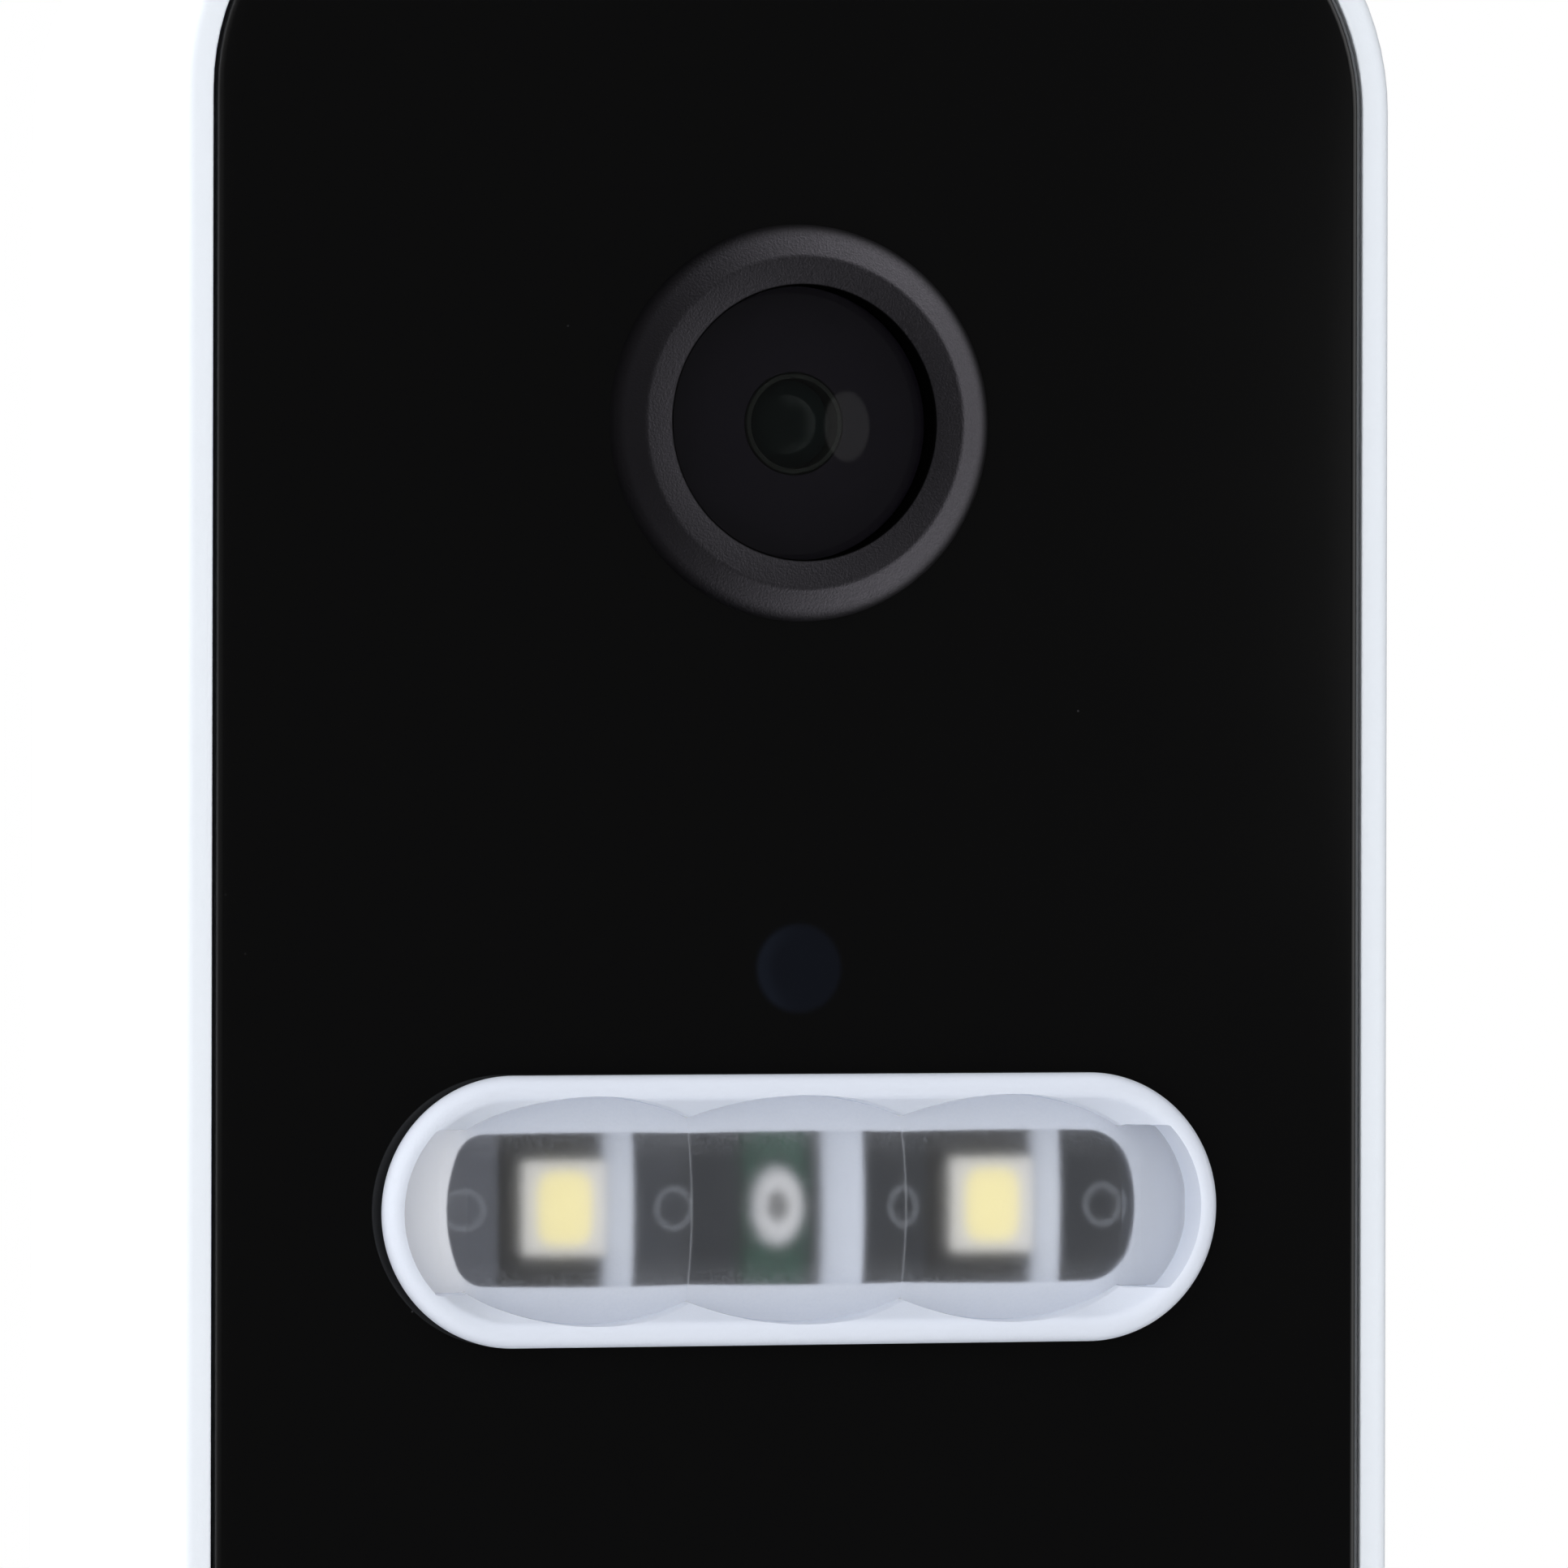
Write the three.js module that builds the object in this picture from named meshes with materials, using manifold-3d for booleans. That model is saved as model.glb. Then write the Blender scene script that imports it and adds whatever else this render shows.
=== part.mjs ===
// A battery video doorbell on its wall bracket.
//
// X is the width, Z is up and the wall lies at y = 0. Sizes are in millimetres. Places through
// the body are given as depths: the distance in front of the wall, so depth d is y = -d.

import * as THREE from 'three';
import { mergeVertices } from 'three/addons/utils/BufferGeometryUtils.js';
import Module from 'manifold-3d';

const wasm = await Module();
wasm.setup();

// ---------------------------------------------------------------- driving sizes

// Fits
const GAP = 0.3; // clearance between neighbours that don't bear on each other
const SLIP = 0.1; // clearance of a bonded or guided piece in its seat
const CUT = 1; // how far a cutting shape runs past the face it cuts

// Housing
const BODY_W = 54.8;
const BODY_H = 146;
const BODY_R = 12;
const WALL = 1.8;
const EDGE = 0.4; // rounding of the outer edges
const RIM_DEPTH = 27.6; // front of the white rim

// Bracket and rear cover
const BRACKET_T = 2;
const BRACKET_SIDE_GAP = 0.6;
const BRACKET_ROOM = 0.6; // between the bracket and the cover's back
const LIFT = 6; // travel that frees the doorbell from the hooks
const SKIRT_LIFT = 0.5; // the skirt stands this far off the wall
const COVER_T = 2;
const SEAM_RISE = 1.8; // from the cover's front to the seam
const GASKET_T = 0.3;
const GASKET_INSET = 0.6;
const TONGUE_T = 1;
const TONGUE_RISE = 1.5; // how far the tongue reaches past the gasket
const TONGUE_GAP = 0.15;

// Front panel
const RIM_W = 1.4;
const PANEL_T = 1.4;
const PANEL_PROUD = 0.4;
const PANEL_BEVEL = 0.4;
const TAPE_T = 0.3;
const TAPE_W = 2.4;
const DECK_T = 1.6; // wall of the housing behind the panel

// Places of what the front shows
const LENS_DROP = 26; // lens centre below the top
const SENSOR_DROP = 23.6; // sensor window below the lens centre
const LIGHT_DROP = 34; // light below the lens centre
const BUTTON_RISE = 27; // button centre above the bottom
const MIC_RISE = 53; // microphone above the bottom

// Lens bezel and camera
const BEZEL_R = 8.35;
const BEZEL_PROUD = 0.85;
const BEZEL_EDGE = 0.25; // height of the bezel's outer edge
const FACE_R = 7.2; // outer radius of the bezel's flat face
const FACE_DISH = 0.12; // how far the face dips at the aperture
const APERTURE_R = 5.93;
const APERTURE_DEEP = 1.9;
const NECK_R = 7.7;
const NECK_LENGTH = 4.4; // behind the panel's front
const PLATE_R = 6.4;
const PLATE_T = 0.35;
const COVER_GLASS_R = 5.7;
const COVER_GLASS_T = 0.3;
const COVER_GLASS_CROWN = 0.4;
const NOSE_R = 2.15;
const NOSE_LENGTH = 1.1;
const NOSE_PROUD = 0.05;
const NOSE_BORE_R = 1.95;
const NOSE_GAP = 0.2;
const BARREL_R = 3.2;
const BARREL_BORE_R = 1.2;
const GLASS_SEAT = 1.4; // depth of the front glass's seat in the nose
const GLASS_EDGE = 0.5;
const GLASS_CROWN = 0.7;
const SEAL_W = 1.4;
const SEAL_T = 0.8;
const HOLDER_W = 11;
const HOLDER_T = 4;
const IMAGER_W = 4.6;
const IMAGER_H = 4;
const IMAGER_T = 0.9;

// Ambient light sensor
const WINDOW_R = 1.95;
const PIPE_R = 1.7;
const SENSOR_W = 2.4;
const SENSOR_H = 2;
const SENSOR_T = 0.9;

// Light
const DOMES_HALF_W = 14.85; // where the light's outer domes are cut off
const LIGHT_END = 4.05; // from there to the light's end
const LIGHT_W = 2 * ( DOMES_HALF_W + LIGHT_END );
const LIGHT_H = 11.7;
const LIGHT_RIM = 0.8;
const LIGHT_PROUD = 1.35;
const LIGHT_EDGE = 0.5;
const LIGHT_BEAD = 1.1; // thickness of the rounded bead round the light's front
const LIGHT_NECK = 0.2; // how far the bezel steps in behind its bead
const LIGHT_SLOPE = 0.95; // width of the slope inside the bead
const LIGHT_SLOPE_DEEP = 1.6;
const LIGHT_FLANGE = 2;
const LIGHT_FLANGE_T = 1.4;
const OPTIC_GAP = 0.2; // clearance of the lens in the light bezel
const OPTIC_SINK = 0.75; // how far the domes stay below the rim
const DOME_X = 9.4; // middle of an outer dome
const DOME_RISE = 1.3;
const DOME_HALF_W = 7.71;
const MID_DOME_HALF_W = 8.25;
const DOME_HALF_H = 4.95;
const TAB_HALF_H = 3.55; // half the height of the opening beyond them
const OPTIC_BASE_T = 0.8;
const REFLECTOR_T = 2;
const RIB_DROP = 0.9; // tops of the ribs below the reflector's front
const RIB_T = 0.3;
const RIB_SLOPE = 0.4; // how far a rib's face leans out over its height
const MID_RIB_SLOPE = 1.4;
const SLOT_H = 6.3;
const POCKET = [ 7.45, 12 ]; // inner and outer side of an LED's pocket
const MID_POCKET_HALF = 3.2;
const BAFFLE_T = 0.3;
const POST_R = 0.85;
const POST_RISE = 0.12;
const LED_X = 9.6;
const LED_W = 3.5;
const LED_T = 0.7;
const IR_LED_R = 1.2;
const LIGHT_BOARD_T = 0.9;
const PLUG_W = 6;
const PLUG_H = 3;

// Button
const CAP_R = 11.2;
const CAP_PROUD = 0.7;
const CAP_DISH = 0.35;
const CAP_T = 4.2;
const CAP_EDGE = 0.4;
const CAP_STEPS = 3; // facets of the dish, from the centre to the edge
const CAP_FLANGE = 1.1;
const CAP_FLANGE_T = 0.7;
const RING_W = 1.9;
const RING_PROUD = 0.2;
const RING_FLANGE = 1.5;
const RING_FLANGE_T = 0.8;
const RING_STEP = 1.1; // the ring is this much wider inside, round the cap's flange
const RING_STEP_DEEP = 2.8;
const RING_LENGTH = 7;
const BUTTON_TRAVEL = 0.6;
const PLUNGER_HEAD_R = 3;
const PLUNGER_HEAD_T = 1.3;
const PLUNGER_R = 1.4;
const SWITCH_W = 6;
const SWITCH_T = 2.8;
const SWITCH_FLOOR = 0.8;
const PLUNGER_SINK = 1.2; // how far the plunger's tip sits in the switch
const PAD_R_IN = 5.2;
const PAD_R_OUT = 8;
const RING_LED_W = 2;
const RING_LED_T = 0.8;

// Main board
const BOARD_ROOM = 5.3; // between the board and the deck
const BOARD_T = 1;
const BOARD_SIDE_GAP = 2; // between the board and the housing's wall
const BOARD_FOOT_GAP = 1.7;
const POST_OUT_R = 2.2;
const POST_SIDE = 6.8; // board posts from the inside of the housing's wall
const POST_TOP_DROP = 16.5;
const POST_FOOT_RISE = 14.5;
const CAN_W = 20;
const CAN_H = 10;
const CAN_T = 2.2;
const CAN_DROP = 14.5; // below the lens centre
const ANTENNA_W = 24;
const ANTENNA_H = 5;
const ANTENNA_T = 0.4;
const ANTENNA_DROP = 10.5;
const MIC_W = 3.8;
const MIC_H = 3;
const MIC_T = 1.2;
const MIC_SEAL_R = 1.9;
const MIC_HOLE_R = 0.6;

// Battery
const BATTERY_SIDE = 2.45; // battery from the cover's tongue
const BATTERY_PAD_T = 0.8;
const BATTERY_GAP = 1;
const BATTERY_R = 4;
const BATTERY_EDGE = 1.5;
const BATTERY_PLUG_W = 8;
const BATTERY_PLUG_H = 4;
const BATTERY_PLUG_T = 4;
const BATTERY_CLEAR = 0.8; // above the lower hook pockets
const BATTERY_TOP_CLEAR = 5; // below the terminal bay
const BATTERY_PAD_INSET = 6;

// Terminals
const BAY_W = 26;
const BAY_H = 15;
const BAY_DROP = 19; // below the lens centre
const BAY_DEEP = 5.4;
const BAY_WALL = 1.2;
const TERMINAL_X = 7;
const TERMINAL_R = 1.45;
const TERMINAL_HEAD_R = 2.8;
const TERMINAL_HEAD_T = 1.5;
const TERMINAL_PLATE_W = 7;
const TERMINAL_PLATE_T = 0.9;
const TERMINAL_TUBE_R = 3;

// Hooks
const HOOK_INSET = 6; // hooks from the screw bosses
const HOOK_W = 5;
const HOOK_DROP = 27;
const HOOK_RISE = 15.5;
const STEM_H = 2;
const LIP_H = 4.5;
const LIP_T = 1.5;
const POCKET_WALL = 1;

// Bracket openings
const WINDOW_MARGIN = 1; // wire window past the terminal bay
const WINDOW_CORNER = 2;
const WALL_SLOT_W = 4.4;
const WALL_SLOT_LENGTH = 8;
const WALL_SLOT_HEAD_W = 8.4;
const WALL_SLOT_HEAD_DEEP = 0.8;
const WALL_SLOT_END = 28; // screw slots from the top and from the bottom
const BRACKET_R = 9;

// Buttons in the back
const SERVICE_DROP = 15; // reset and tamper below the top
const RESET_X = 9;
const RESET_R = 2.2;
const RESET_TRAVEL = 0.8;
const SERVICE_FLANGE = 0.8;
const SERVICE_FLANGE_T = 0.8;
const ROD_R = 1;
const TAMPER_R = 1.5;
const TAMPER_TRAVEL = 1.5;
const GUIDE_WALL = 1;
const GUIDE_LENGTH = 4.4;
const SMALL_SWITCH_W = 5;
const SMALL_SWITCH_T = 4.5;
const ROD_SINK = 0.7;

// Speaker
const SPEAKER_SIDE = 1.4; // speaker from the screw boss beside it
const SPEAKER_PORT_GAP = 1.7;
const SPEAKER_H = 7;
const SPEAKER_EDGE = 1.2;
const MAGNET_INSET = 0.7; // magnet inside the speaker's front and back
const MAGNET_H = 2.6;
const SPEAKER_BOARD_GAP = 0.9;
const MESH_T = 0.3;
const GRILLE_PITCH = 2.6;
const GRILLE_SLOT_W = 1.2;
const GRILLE_INSET = 0.6; // slots end this far inside the speaker's edges

// Charging port
const PORT_SIDE = 1.7; // port from the screw boss beside it
const PORT_W = 9;
const PORT_T = 3.2;
const PORT_LENGTH = 7;
const PORT_WALL = 0.3;
const PORT_MARGIN = 0.2; // the wall's hole past the shell
const FLAP_W = 12.4;
const FLAP_H = 6.4;
const FLAP_T = 0.8;
const FLAP_SEAT = 0.2;
const FLAP_SINK = 0.1;
const FLAP_HINGE_ROOM = 0.6;
const FLAP_PLUG_W = 7.4;
const FLAP_PLUG_T = 1.6;
const FLAP_PLUG_LENGTH = 1.9;

// Fasteners
const BOSS_R = 2.8;
const BOSS_SLACK = 0.4; // between the boss and the tongue's corner
const SCREW_R = 1;
const SCREW_HEAD_R = 1.9;
const SCREW_HEAD_T = 1.2;
const SCREW_LENGTH = 11.4;
const BOARD_SCREW_LENGTH = 4.6;
const LOCK_HEAD_R = 1.5;
const LOCK_HEAD_WALL = 0.5; // between the lock screw's hole and the skirt's back edge
const LOCK_W = 7;
const LOCK_RISE = 3.9;
const LOCK_GAP = 0.7;

// ---------------------------------------------------------------- places worked out from them

const panelFront = RIM_DEPTH + PANEL_PROUD;
const panelBack = panelFront - PANEL_T;
const deckFront = panelBack - TAPE_T;
const deckBack = deckFront - DECK_T;
const boardFront = deckBack - BOARD_ROOM;
const boardBack = boardFront - BOARD_T;
const coverBack = BRACKET_T + BRACKET_ROOM;
const coverFront = coverBack + COVER_T;
const seamDepth = coverFront + SEAM_RISE;
const housingBack = seamDepth + GASKET_T;

const top = BODY_H / 2;
const foot = - BODY_H / 2;
const innerFoot = foot + WALL;
const lensZ = top - LENS_DROP;
const sensorZ = lensZ - SENSOR_DROP;
const lightZ = lensZ - LIGHT_DROP;
const buttonZ = foot + BUTTON_RISE;
const micZ = foot + MIC_RISE;
const bayZ = lensZ - BAY_DROP;
const serviceZ = top - SERVICE_DROP;
const hookZ = [ top - HOOK_DROP, foot + HOOK_RISE ];
const hookTop = STEM_H + LIP_H;
const wallSlotZ = [ top - WALL_SLOT_END, foot + WALL_SLOT_END ];

const tongueFront = housingBack + TONGUE_RISE;
const speakerFront = boardBack - SPEAKER_BOARD_GAP;
const speakerBack = tongueFront + GAP;
const portDepth = boardBack - PORT_T / 2;

const ringOuterR = CAP_R + GAP + RING_W;
const capFront = panelFront + CAP_PROUD;
const capBack = capFront - CAP_T;

const cornerX = BODY_W / 2 - BODY_R;
const cornerZ = BODY_H / 2 - BODY_R;
const bossReach = ( BODY_R - WALL - TONGUE_GAP - TONGUE_T - BOSS_SLACK - BOSS_R ) / Math.SQRT2;
const bossX = cornerX + bossReach;
const bossZ = cornerZ + bossReach;
const bossSpots = [[ - bossX, bossZ ], [ bossX, bossZ ], [ - bossX, - bossZ ], [ bossX, - bossZ ]];
const bossInner = bossX - BOSS_R;
const hookX = bossX - HOOK_INSET;
const portX = bossInner - PORT_SIDE - PORT_W / 2;
const speakerRight = portX - PORT_W / 2 - SPEAKER_PORT_GAP;
const speakerW = speakerRight + bossInner - SPEAKER_SIDE;
const speakerX = speakerRight - speakerW / 2;
const postX = BODY_W / 2 - WALL - POST_SIDE;
const postSpots = [
	[ - postX, top - POST_TOP_DROP ],
	[ postX, foot + POST_FOOT_RISE ]
];

// ---------------------------------------------------------------- solids

const ARC = 4; // half the steps in a corner or half round
const ROUND = 36; // sides of a large turned piece
const MID_ROUND = 24;
const SMALL_ROUND = 12; // sides of a small one
const MERGE = 1e-4;

// Closed triangles facing out, as a solid that can be joined and cut.
function solid( geometry ) {

	const bare = new THREE.BufferGeometry();
	bare.setAttribute( 'position', geometry.getAttribute( 'position' ) );
	if ( geometry.index ) bare.setIndex( geometry.index );
	const merged = mergeVertices( bare, MERGE );
	const points = merged.getAttribute( 'position' );
	const corners = merged.index.array;
	const triangles = [];
	let volume = 0;
	const [ a, b, c ] = [ new THREE.Vector3(), new THREE.Vector3(), new THREE.Vector3() ];
	for ( let i = 0; i < corners.length; i += 3 ) {

		const [ p, q, r ] = corners.slice( i, i + 3 );
		if ( p === q || q === r || r === p ) continue;
		a.fromBufferAttribute( points, p );
		b.fromBufferAttribute( points, q );
		c.fromBufferAttribute( points, r );
		volume += a.dot( b.cross( c ) );
		triangles.push( p, q, r );

	}

	if ( volume < 0 ) triangles.reverse();
	return new wasm.Manifold( new wasm.Mesh( {
		numProp: 3,
		vertProperties: new Float32Array( points.array ),
		triVerts: new Uint32Array( triangles )
	} ) );

}

const join = ( first, ...more ) => more.flat().reduce( ( sum, piece ) => sum.add( piece ), first );
const cut = ( first, ...tools ) => tools.flat().reduce( ( rest, tool ) => rest.subtract( tool ), first );

// A shape drawn in X and Z, as thick as from one depth to the other.
function slab( shape, back, front, x = 0, z = 0 ) {

	const geometry = new THREE.ExtrudeGeometry( shape, {
		depth: front - back,
		bevelEnabled: false,
		curveSegments: ARC
	} );
	return solid( geometry.translate( 0, 0, back ).rotateX( Math.PI / 2 ).translate( x, 0, z ) );

}

// The same with its front and back edges rounded off, over an inset and a depth.
function softSlab( shape, back, front, edge, x = 0, z = 0, deep = edge ) {

	const geometry = new THREE.ExtrudeGeometry( shape, {
		depth: front - back - 2 * deep,
		bevelThickness: deep,
		bevelSize: edge,
		bevelOffset: - edge,
		bevelSegments: 1,
		curveSegments: ARC
	} );
	return solid( geometry.translate( 0, 0, back + deep ).rotateX( Math.PI / 2 ).translate( x, 0, z ) );

}

// A profile of [radius, depth] points, turned about a line through the body.
function turned( profile, sides = ROUND, x = 0, z = 0 ) {

	const points = profile.map( ( [ r, depth ] ) => new THREE.Vector2( r, - depth ) );
	return solid( new THREE.LatheGeometry( points, sides ).translate( x, 0, z ) );

}

const rod = ( r, back, front, x = 0, z = 0, sides = SMALL_ROUND ) =>
	turned( [[ 0, back ], [ r, back ], [ r, front ], [ 0, front ]], sides, x, z );

const ring = ( inner, outer, back, front, sides = ROUND ) =>
	turned( [[ inner, back ], [ outer, back ], [ outer, front ], [ inner, front ], [ inner, back ]], sides );

// A block between two widths, two depths and two heights.
function block( x0, x1, back, front, z0, z1 ) {

	const geometry = new THREE.BoxGeometry( x1 - x0, front - back, z1 - z0 );
	return solid( geometry.translate( ( x0 + x1 ) / 2, - ( back + front ) / 2, ( z0 + z1 ) / 2 ) );

}

// A block by its width and height about a centre.
const blockAt = ( w, h, back, front, x = 0, z = 0 ) =>
	block( x - w / 2, x + w / 2, back, front, z - h / 2, z + h / 2 );

// A rectangle with round corners about the origin.
function roundedRect( w, h, r ) {

	const shape = new THREE.Shape();
	const [ x, y ] = [ w / 2 - r, h / 2 - r ];
	shape.absarc( x, - y, r, - Math.PI / 2, 0 );
	shape.absarc( x, y, r, 0, Math.PI / 2 );
	shape.absarc( - x, y, r, Math.PI / 2, Math.PI );
	shape.absarc( - x, - y, r, Math.PI, 1.5 * Math.PI );
	shape.closePath();
	return shape;

}

// The long round-ended outline of a light or a slot.
function stadium( w, h ) {

	const shape = new THREE.Shape();
	const [ r, reach ] = [ Math.min( w, h ) / 2, Math.abs( w - h ) / 2 ];
	if ( w >= h ) {

		shape.absarc( reach, 0, r, - Math.PI / 2, Math.PI / 2 );
		shape.absarc( - reach, 0, r, Math.PI / 2, 1.5 * Math.PI );

	} else {

		shape.absarc( 0, reach, r, 0, Math.PI );
		shape.absarc( 0, - reach, r, Math.PI, 2 * Math.PI );

	}

	shape.closePath();
	return shape;

}

// The body's outline, moved in by a distance.
const outline = ( inset ) => roundedRect( BODY_W - 2 * inset, BODY_H - 2 * inset, BODY_R - inset );

const band = ( outer, inner, back, front ) =>
	cut( slab( outline( outer ), back, front ), slab( outline( inner ), back - CUT, front + CUT ) );

// ---------------------------------------------------------------- scene graph

const doorbell = new THREE.Group();
const stations = {};

function station( name, x, z ) {

	stations[ name ] = new THREE.Group();
	stations[ name ].position.set( x, 0, z );
	doorbell.add( stations[ name ] );

}

station( 'body', 0, 0 );
station( 'lens', 0, lensZ );
station( 'sensor', 0, sensorZ );
station( 'light', 0, lightZ );
station( 'button', 0, buttonZ );
station( 'mic', 0, micZ );

const finish = ( color, roughness, metalness = 0 ) => ( { color, roughness, metalness } );

function add( where, name, shape, look ) {

	const { vertProperties, triVerts } = shape.getMesh();
	const geometry = new THREE.BufferGeometry();
	geometry.setAttribute( 'position', new THREE.BufferAttribute( vertProperties, 3 ) );
	geometry.setIndex( new THREE.BufferAttribute( triVerts, 1 ) );
	geometry.computeVertexNormals();
	const mesh = new THREE.Mesh( geometry, new THREE.MeshStandardMaterial( look ) );
	mesh.name = name;
	stations[ where ].add( mesh );

}

const WHITE = finish( 0xe8ebf2, 0.5 );
const GLOSS_BLACK = finish( 0x0b0b0c, 0.08 );
const SATIN_BLACK = finish( 0x2c2c30, 0.5 );
const DARK = finish( 0x18181c, 0.6 );
const CLEAR = { ...finish( 0xf0f3f7, 0.05 ), transparent: true, opacity: 0.35 };
const RUBBER = finish( 0x303236, 0.8 );
const WHITE_RUBBER = finish( 0xd9dce2, 0.7 );
const STEEL = finish( 0xb8babd, 0.3, 1 );
const BRASS = finish( 0xc9a24c, 0.35, 1 );
const BOARD_GREEN = finish( 0x1f5a44, 0.5 );
const CHIP = finish( 0x1b1b1d, 0.5 );
const LED_WHITE = finish( 0xf2f0e6, 0.4 );
const FOAM = finish( 0x55585c, 0.95 );
const FILTER_BLUE = finish( 0x10182a, 0.1 );
const CELL_BLUE = finish( 0x2a4a86, 0.45 );
const BRACKET_GREY = finish( 0x3a3c40, 0.6 );

// ---------------------------------------------------------------- housing

function frontHousing() {

	const shell = cut(
		softSlab( outline( 0 ), housingBack, RIM_DEPTH, EDGE ),
		slab( outline( WALL ), housingBack - CUT, deckBack ),
		slab( outline( RIM_W - SLIP ), deckFront, RIM_DEPTH + CUT )
	);
	const bossBack = tongueFront + GAP;
	const bosses = bossSpots.map( ( [ x, z ] ) => rod( BOSS_R, bossBack, deckBack + SLIP, x, z ) );
	const posts = postSpots.map( ( [ x, z ] ) => rod( POST_OUT_R, boardFront, deckBack + SLIP, x, z ) );
	const pilotR = SCREW_R + GAP;
	const screwTip = coverFront - GAP + SCREW_LENGTH;
	const pilots = bossSpots.map( ( [ x, z ] ) => rod( pilotR, bossBack - CUT, screwTip + GAP, x, z ) );
	const postTip = boardBack + BOARD_SCREW_LENGTH + GAP;
	const postPilots = postSpots.map( ( [ x, z ] ) => rod( pilotR, boardFront - CUT, postTip, x, z ) );
	const sealHole = rod( MIC_SEAL_R + GAP, deckBack - CUT, deckFront + CUT, 0, micZ );
	const openings = [ ...frontHoles(), sealHole, ...grilleSlots(), ...portHole() ];
	return cut( join( shell, bosses, posts ), pilots, postPilots, openings );

}

// Holes that the deck and the panel share, each a clearance wider than what passes through.
function frontHoles() {

	const [ back, front ] = [ deckBack - CUT, panelFront + CUT ];
	return [
		rod( NECK_R + GAP, back, front, 0, lensZ, ROUND ),
		slab( stadium( LIGHT_W + 2 * GAP, LIGHT_H + 2 * GAP ), back, front, 0, lightZ ),
		rod( ringOuterR + GAP, back, front, 0, buttonZ, ROUND ),
		rod( WINDOW_R + SLIP, back, front, 0, sensorZ )
	];

}

function grilleSlots() {

	const slots = [];
	const [ back, front ] = [ speakerBack + GRILLE_INSET, speakerFront - GRILLE_INSET ];
	const last = Math.floor( ( speakerW - 2 * GRILLE_INSET - GRILLE_SLOT_W ) / GRILLE_PITCH );
	for ( let i = 0; i <= last; i ++ ) {

		const x = speakerX + ( i - last / 2 ) * GRILLE_PITCH;
		slots.push( blockAt( GRILLE_SLOT_W, WALL + 2 * CUT, back, front, x, foot + WALL / 2 ) );

	}

	return slots;

}

// A block by its width and thickness through the body, centred on the port, between two heights.
const onPort = ( w, t, z0, z1 ) =>
	block( portX - w / 2, portX + w / 2, portDepth - t / 2, portDepth + t / 2, z0, z1 );

// The port's hole in the bottom wall, and the seat of its flap, with room at the hinged edge.
function portHole() {

	const [ holeW, holeT ] = [ PORT_W + 2 * PORT_MARGIN, PORT_T + 2 * PORT_MARGIN ];
	const seatTop = foot + FLAP_SINK + FLAP_T + FLAP_SEAT;
	const seatHalf = FLAP_W / 2 + GAP;
	const seatBack = portDepth - FLAP_H / 2 - FLAP_HINGE_ROOM;
	const seatFront = portDepth + FLAP_H / 2 + GAP;
	return [
		onPort( holeW, holeT, foot - CUT, innerFoot + CUT ),
		block( portX - seatHalf, portX + seatHalf, seatBack, seatFront, foot - CUT, seatTop )
	];

}

add( 'body', 'front_housing', frontHousing(), WHITE );

// ---------------------------------------------------------------- panel

function frontPanel() {

	const plate = softSlab( outline( RIM_W ), panelBack, panelFront, PANEL_BEVEL );
	const micHole = rod( MIC_HOLE_R, panelBack - CUT, panelFront + CUT, 0, micZ );
	return cut( plate, frontHoles(), micHole );

}

add( 'body', 'front_panel', frontPanel(), GLOSS_BLACK );

const tapeOuter = RIM_W + PANEL_BEVEL;
add( 'body', 'panel_tape', band( tapeOuter, tapeOuter + TAPE_W, deckFront, panelBack ), DARK );

// ---------------------------------------------------------------- lens

const bezelFace = panelFront + BEZEL_PROUD;
const plateFront = bezelFace - APERTURE_DEEP;
const neckBack = panelFront - NECK_LENGTH;

add( 'lens', 'lens_bezel', turned( [
	[ APERTURE_R, bezelFace - FACE_DISH ],
	[ FACE_R, bezelFace ],
	[ BEZEL_R, panelFront + BEZEL_EDGE ],
	[ BEZEL_R, panelFront ],
	[ NECK_R, panelFront ],
	[ NECK_R, neckBack ],
	[ PLATE_R + GAP, neckBack ],
	[ PLATE_R + GAP, plateFront ],
	[ APERTURE_R, plateFront ],
	[ APERTURE_R, bezelFace - FACE_DISH ]
] ), SATIN_BLACK );

add( 'lens', 'lens_plate', ring( NOSE_R + NOSE_GAP, PLATE_R, plateFront - PLATE_T, plateFront ), DARK );

// A disc with a crowned front, its crown stepped along a parabola.
function crowned( r, back, edgeT, crown, sides ) {

	const profile = [[ 0, back ], [ r, back ]];
	const steps = 3;
	for ( let i = 0; i <= steps; i ++ ) {

		const share = 1 - i / steps;
		profile.push( [ r * share, back + edgeT + crown * ( 1 - share * share ) ] );

	}

	return turned( profile, sides );

}

add( 'lens', 'lens_cover',
	crowned( COVER_GLASS_R, plateFront + GAP, COVER_GLASS_T, COVER_GLASS_CROWN, ROUND ), CLEAR );

const noseFront = plateFront + NOSE_PROUD;
const noseBack = noseFront - NOSE_LENGTH;
const glassSeat = noseFront - GLASS_SEAT;
const imagerFront = boardFront + IMAGER_T;

add( 'lens', 'lens_barrel', turned( [
	[ NOSE_BORE_R, noseFront ],
	[ NOSE_R, noseFront ],
	[ NOSE_R, noseBack ],
	[ BARREL_R, noseBack ],
	[ BARREL_R, imagerFront + GAP ],
	[ BARREL_BORE_R, imagerFront + GAP ],
	[ BARREL_BORE_R, glassSeat ],
	[ NOSE_BORE_R, glassSeat ],
	[ NOSE_BORE_R, noseFront ]
], MID_ROUND ), DARK );

add( 'lens', 'front_lens',
	crowned( NOSE_BORE_R - SLIP, glassSeat, GLASS_EDGE, GLASS_CROWN, MID_ROUND ), CLEAR );

const sealR = NECK_R + GAP;
add( 'lens', 'lens_seal', ring( sealR, sealR + SEAL_W, deckBack - SEAL_T, deckBack ), RUBBER );

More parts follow.
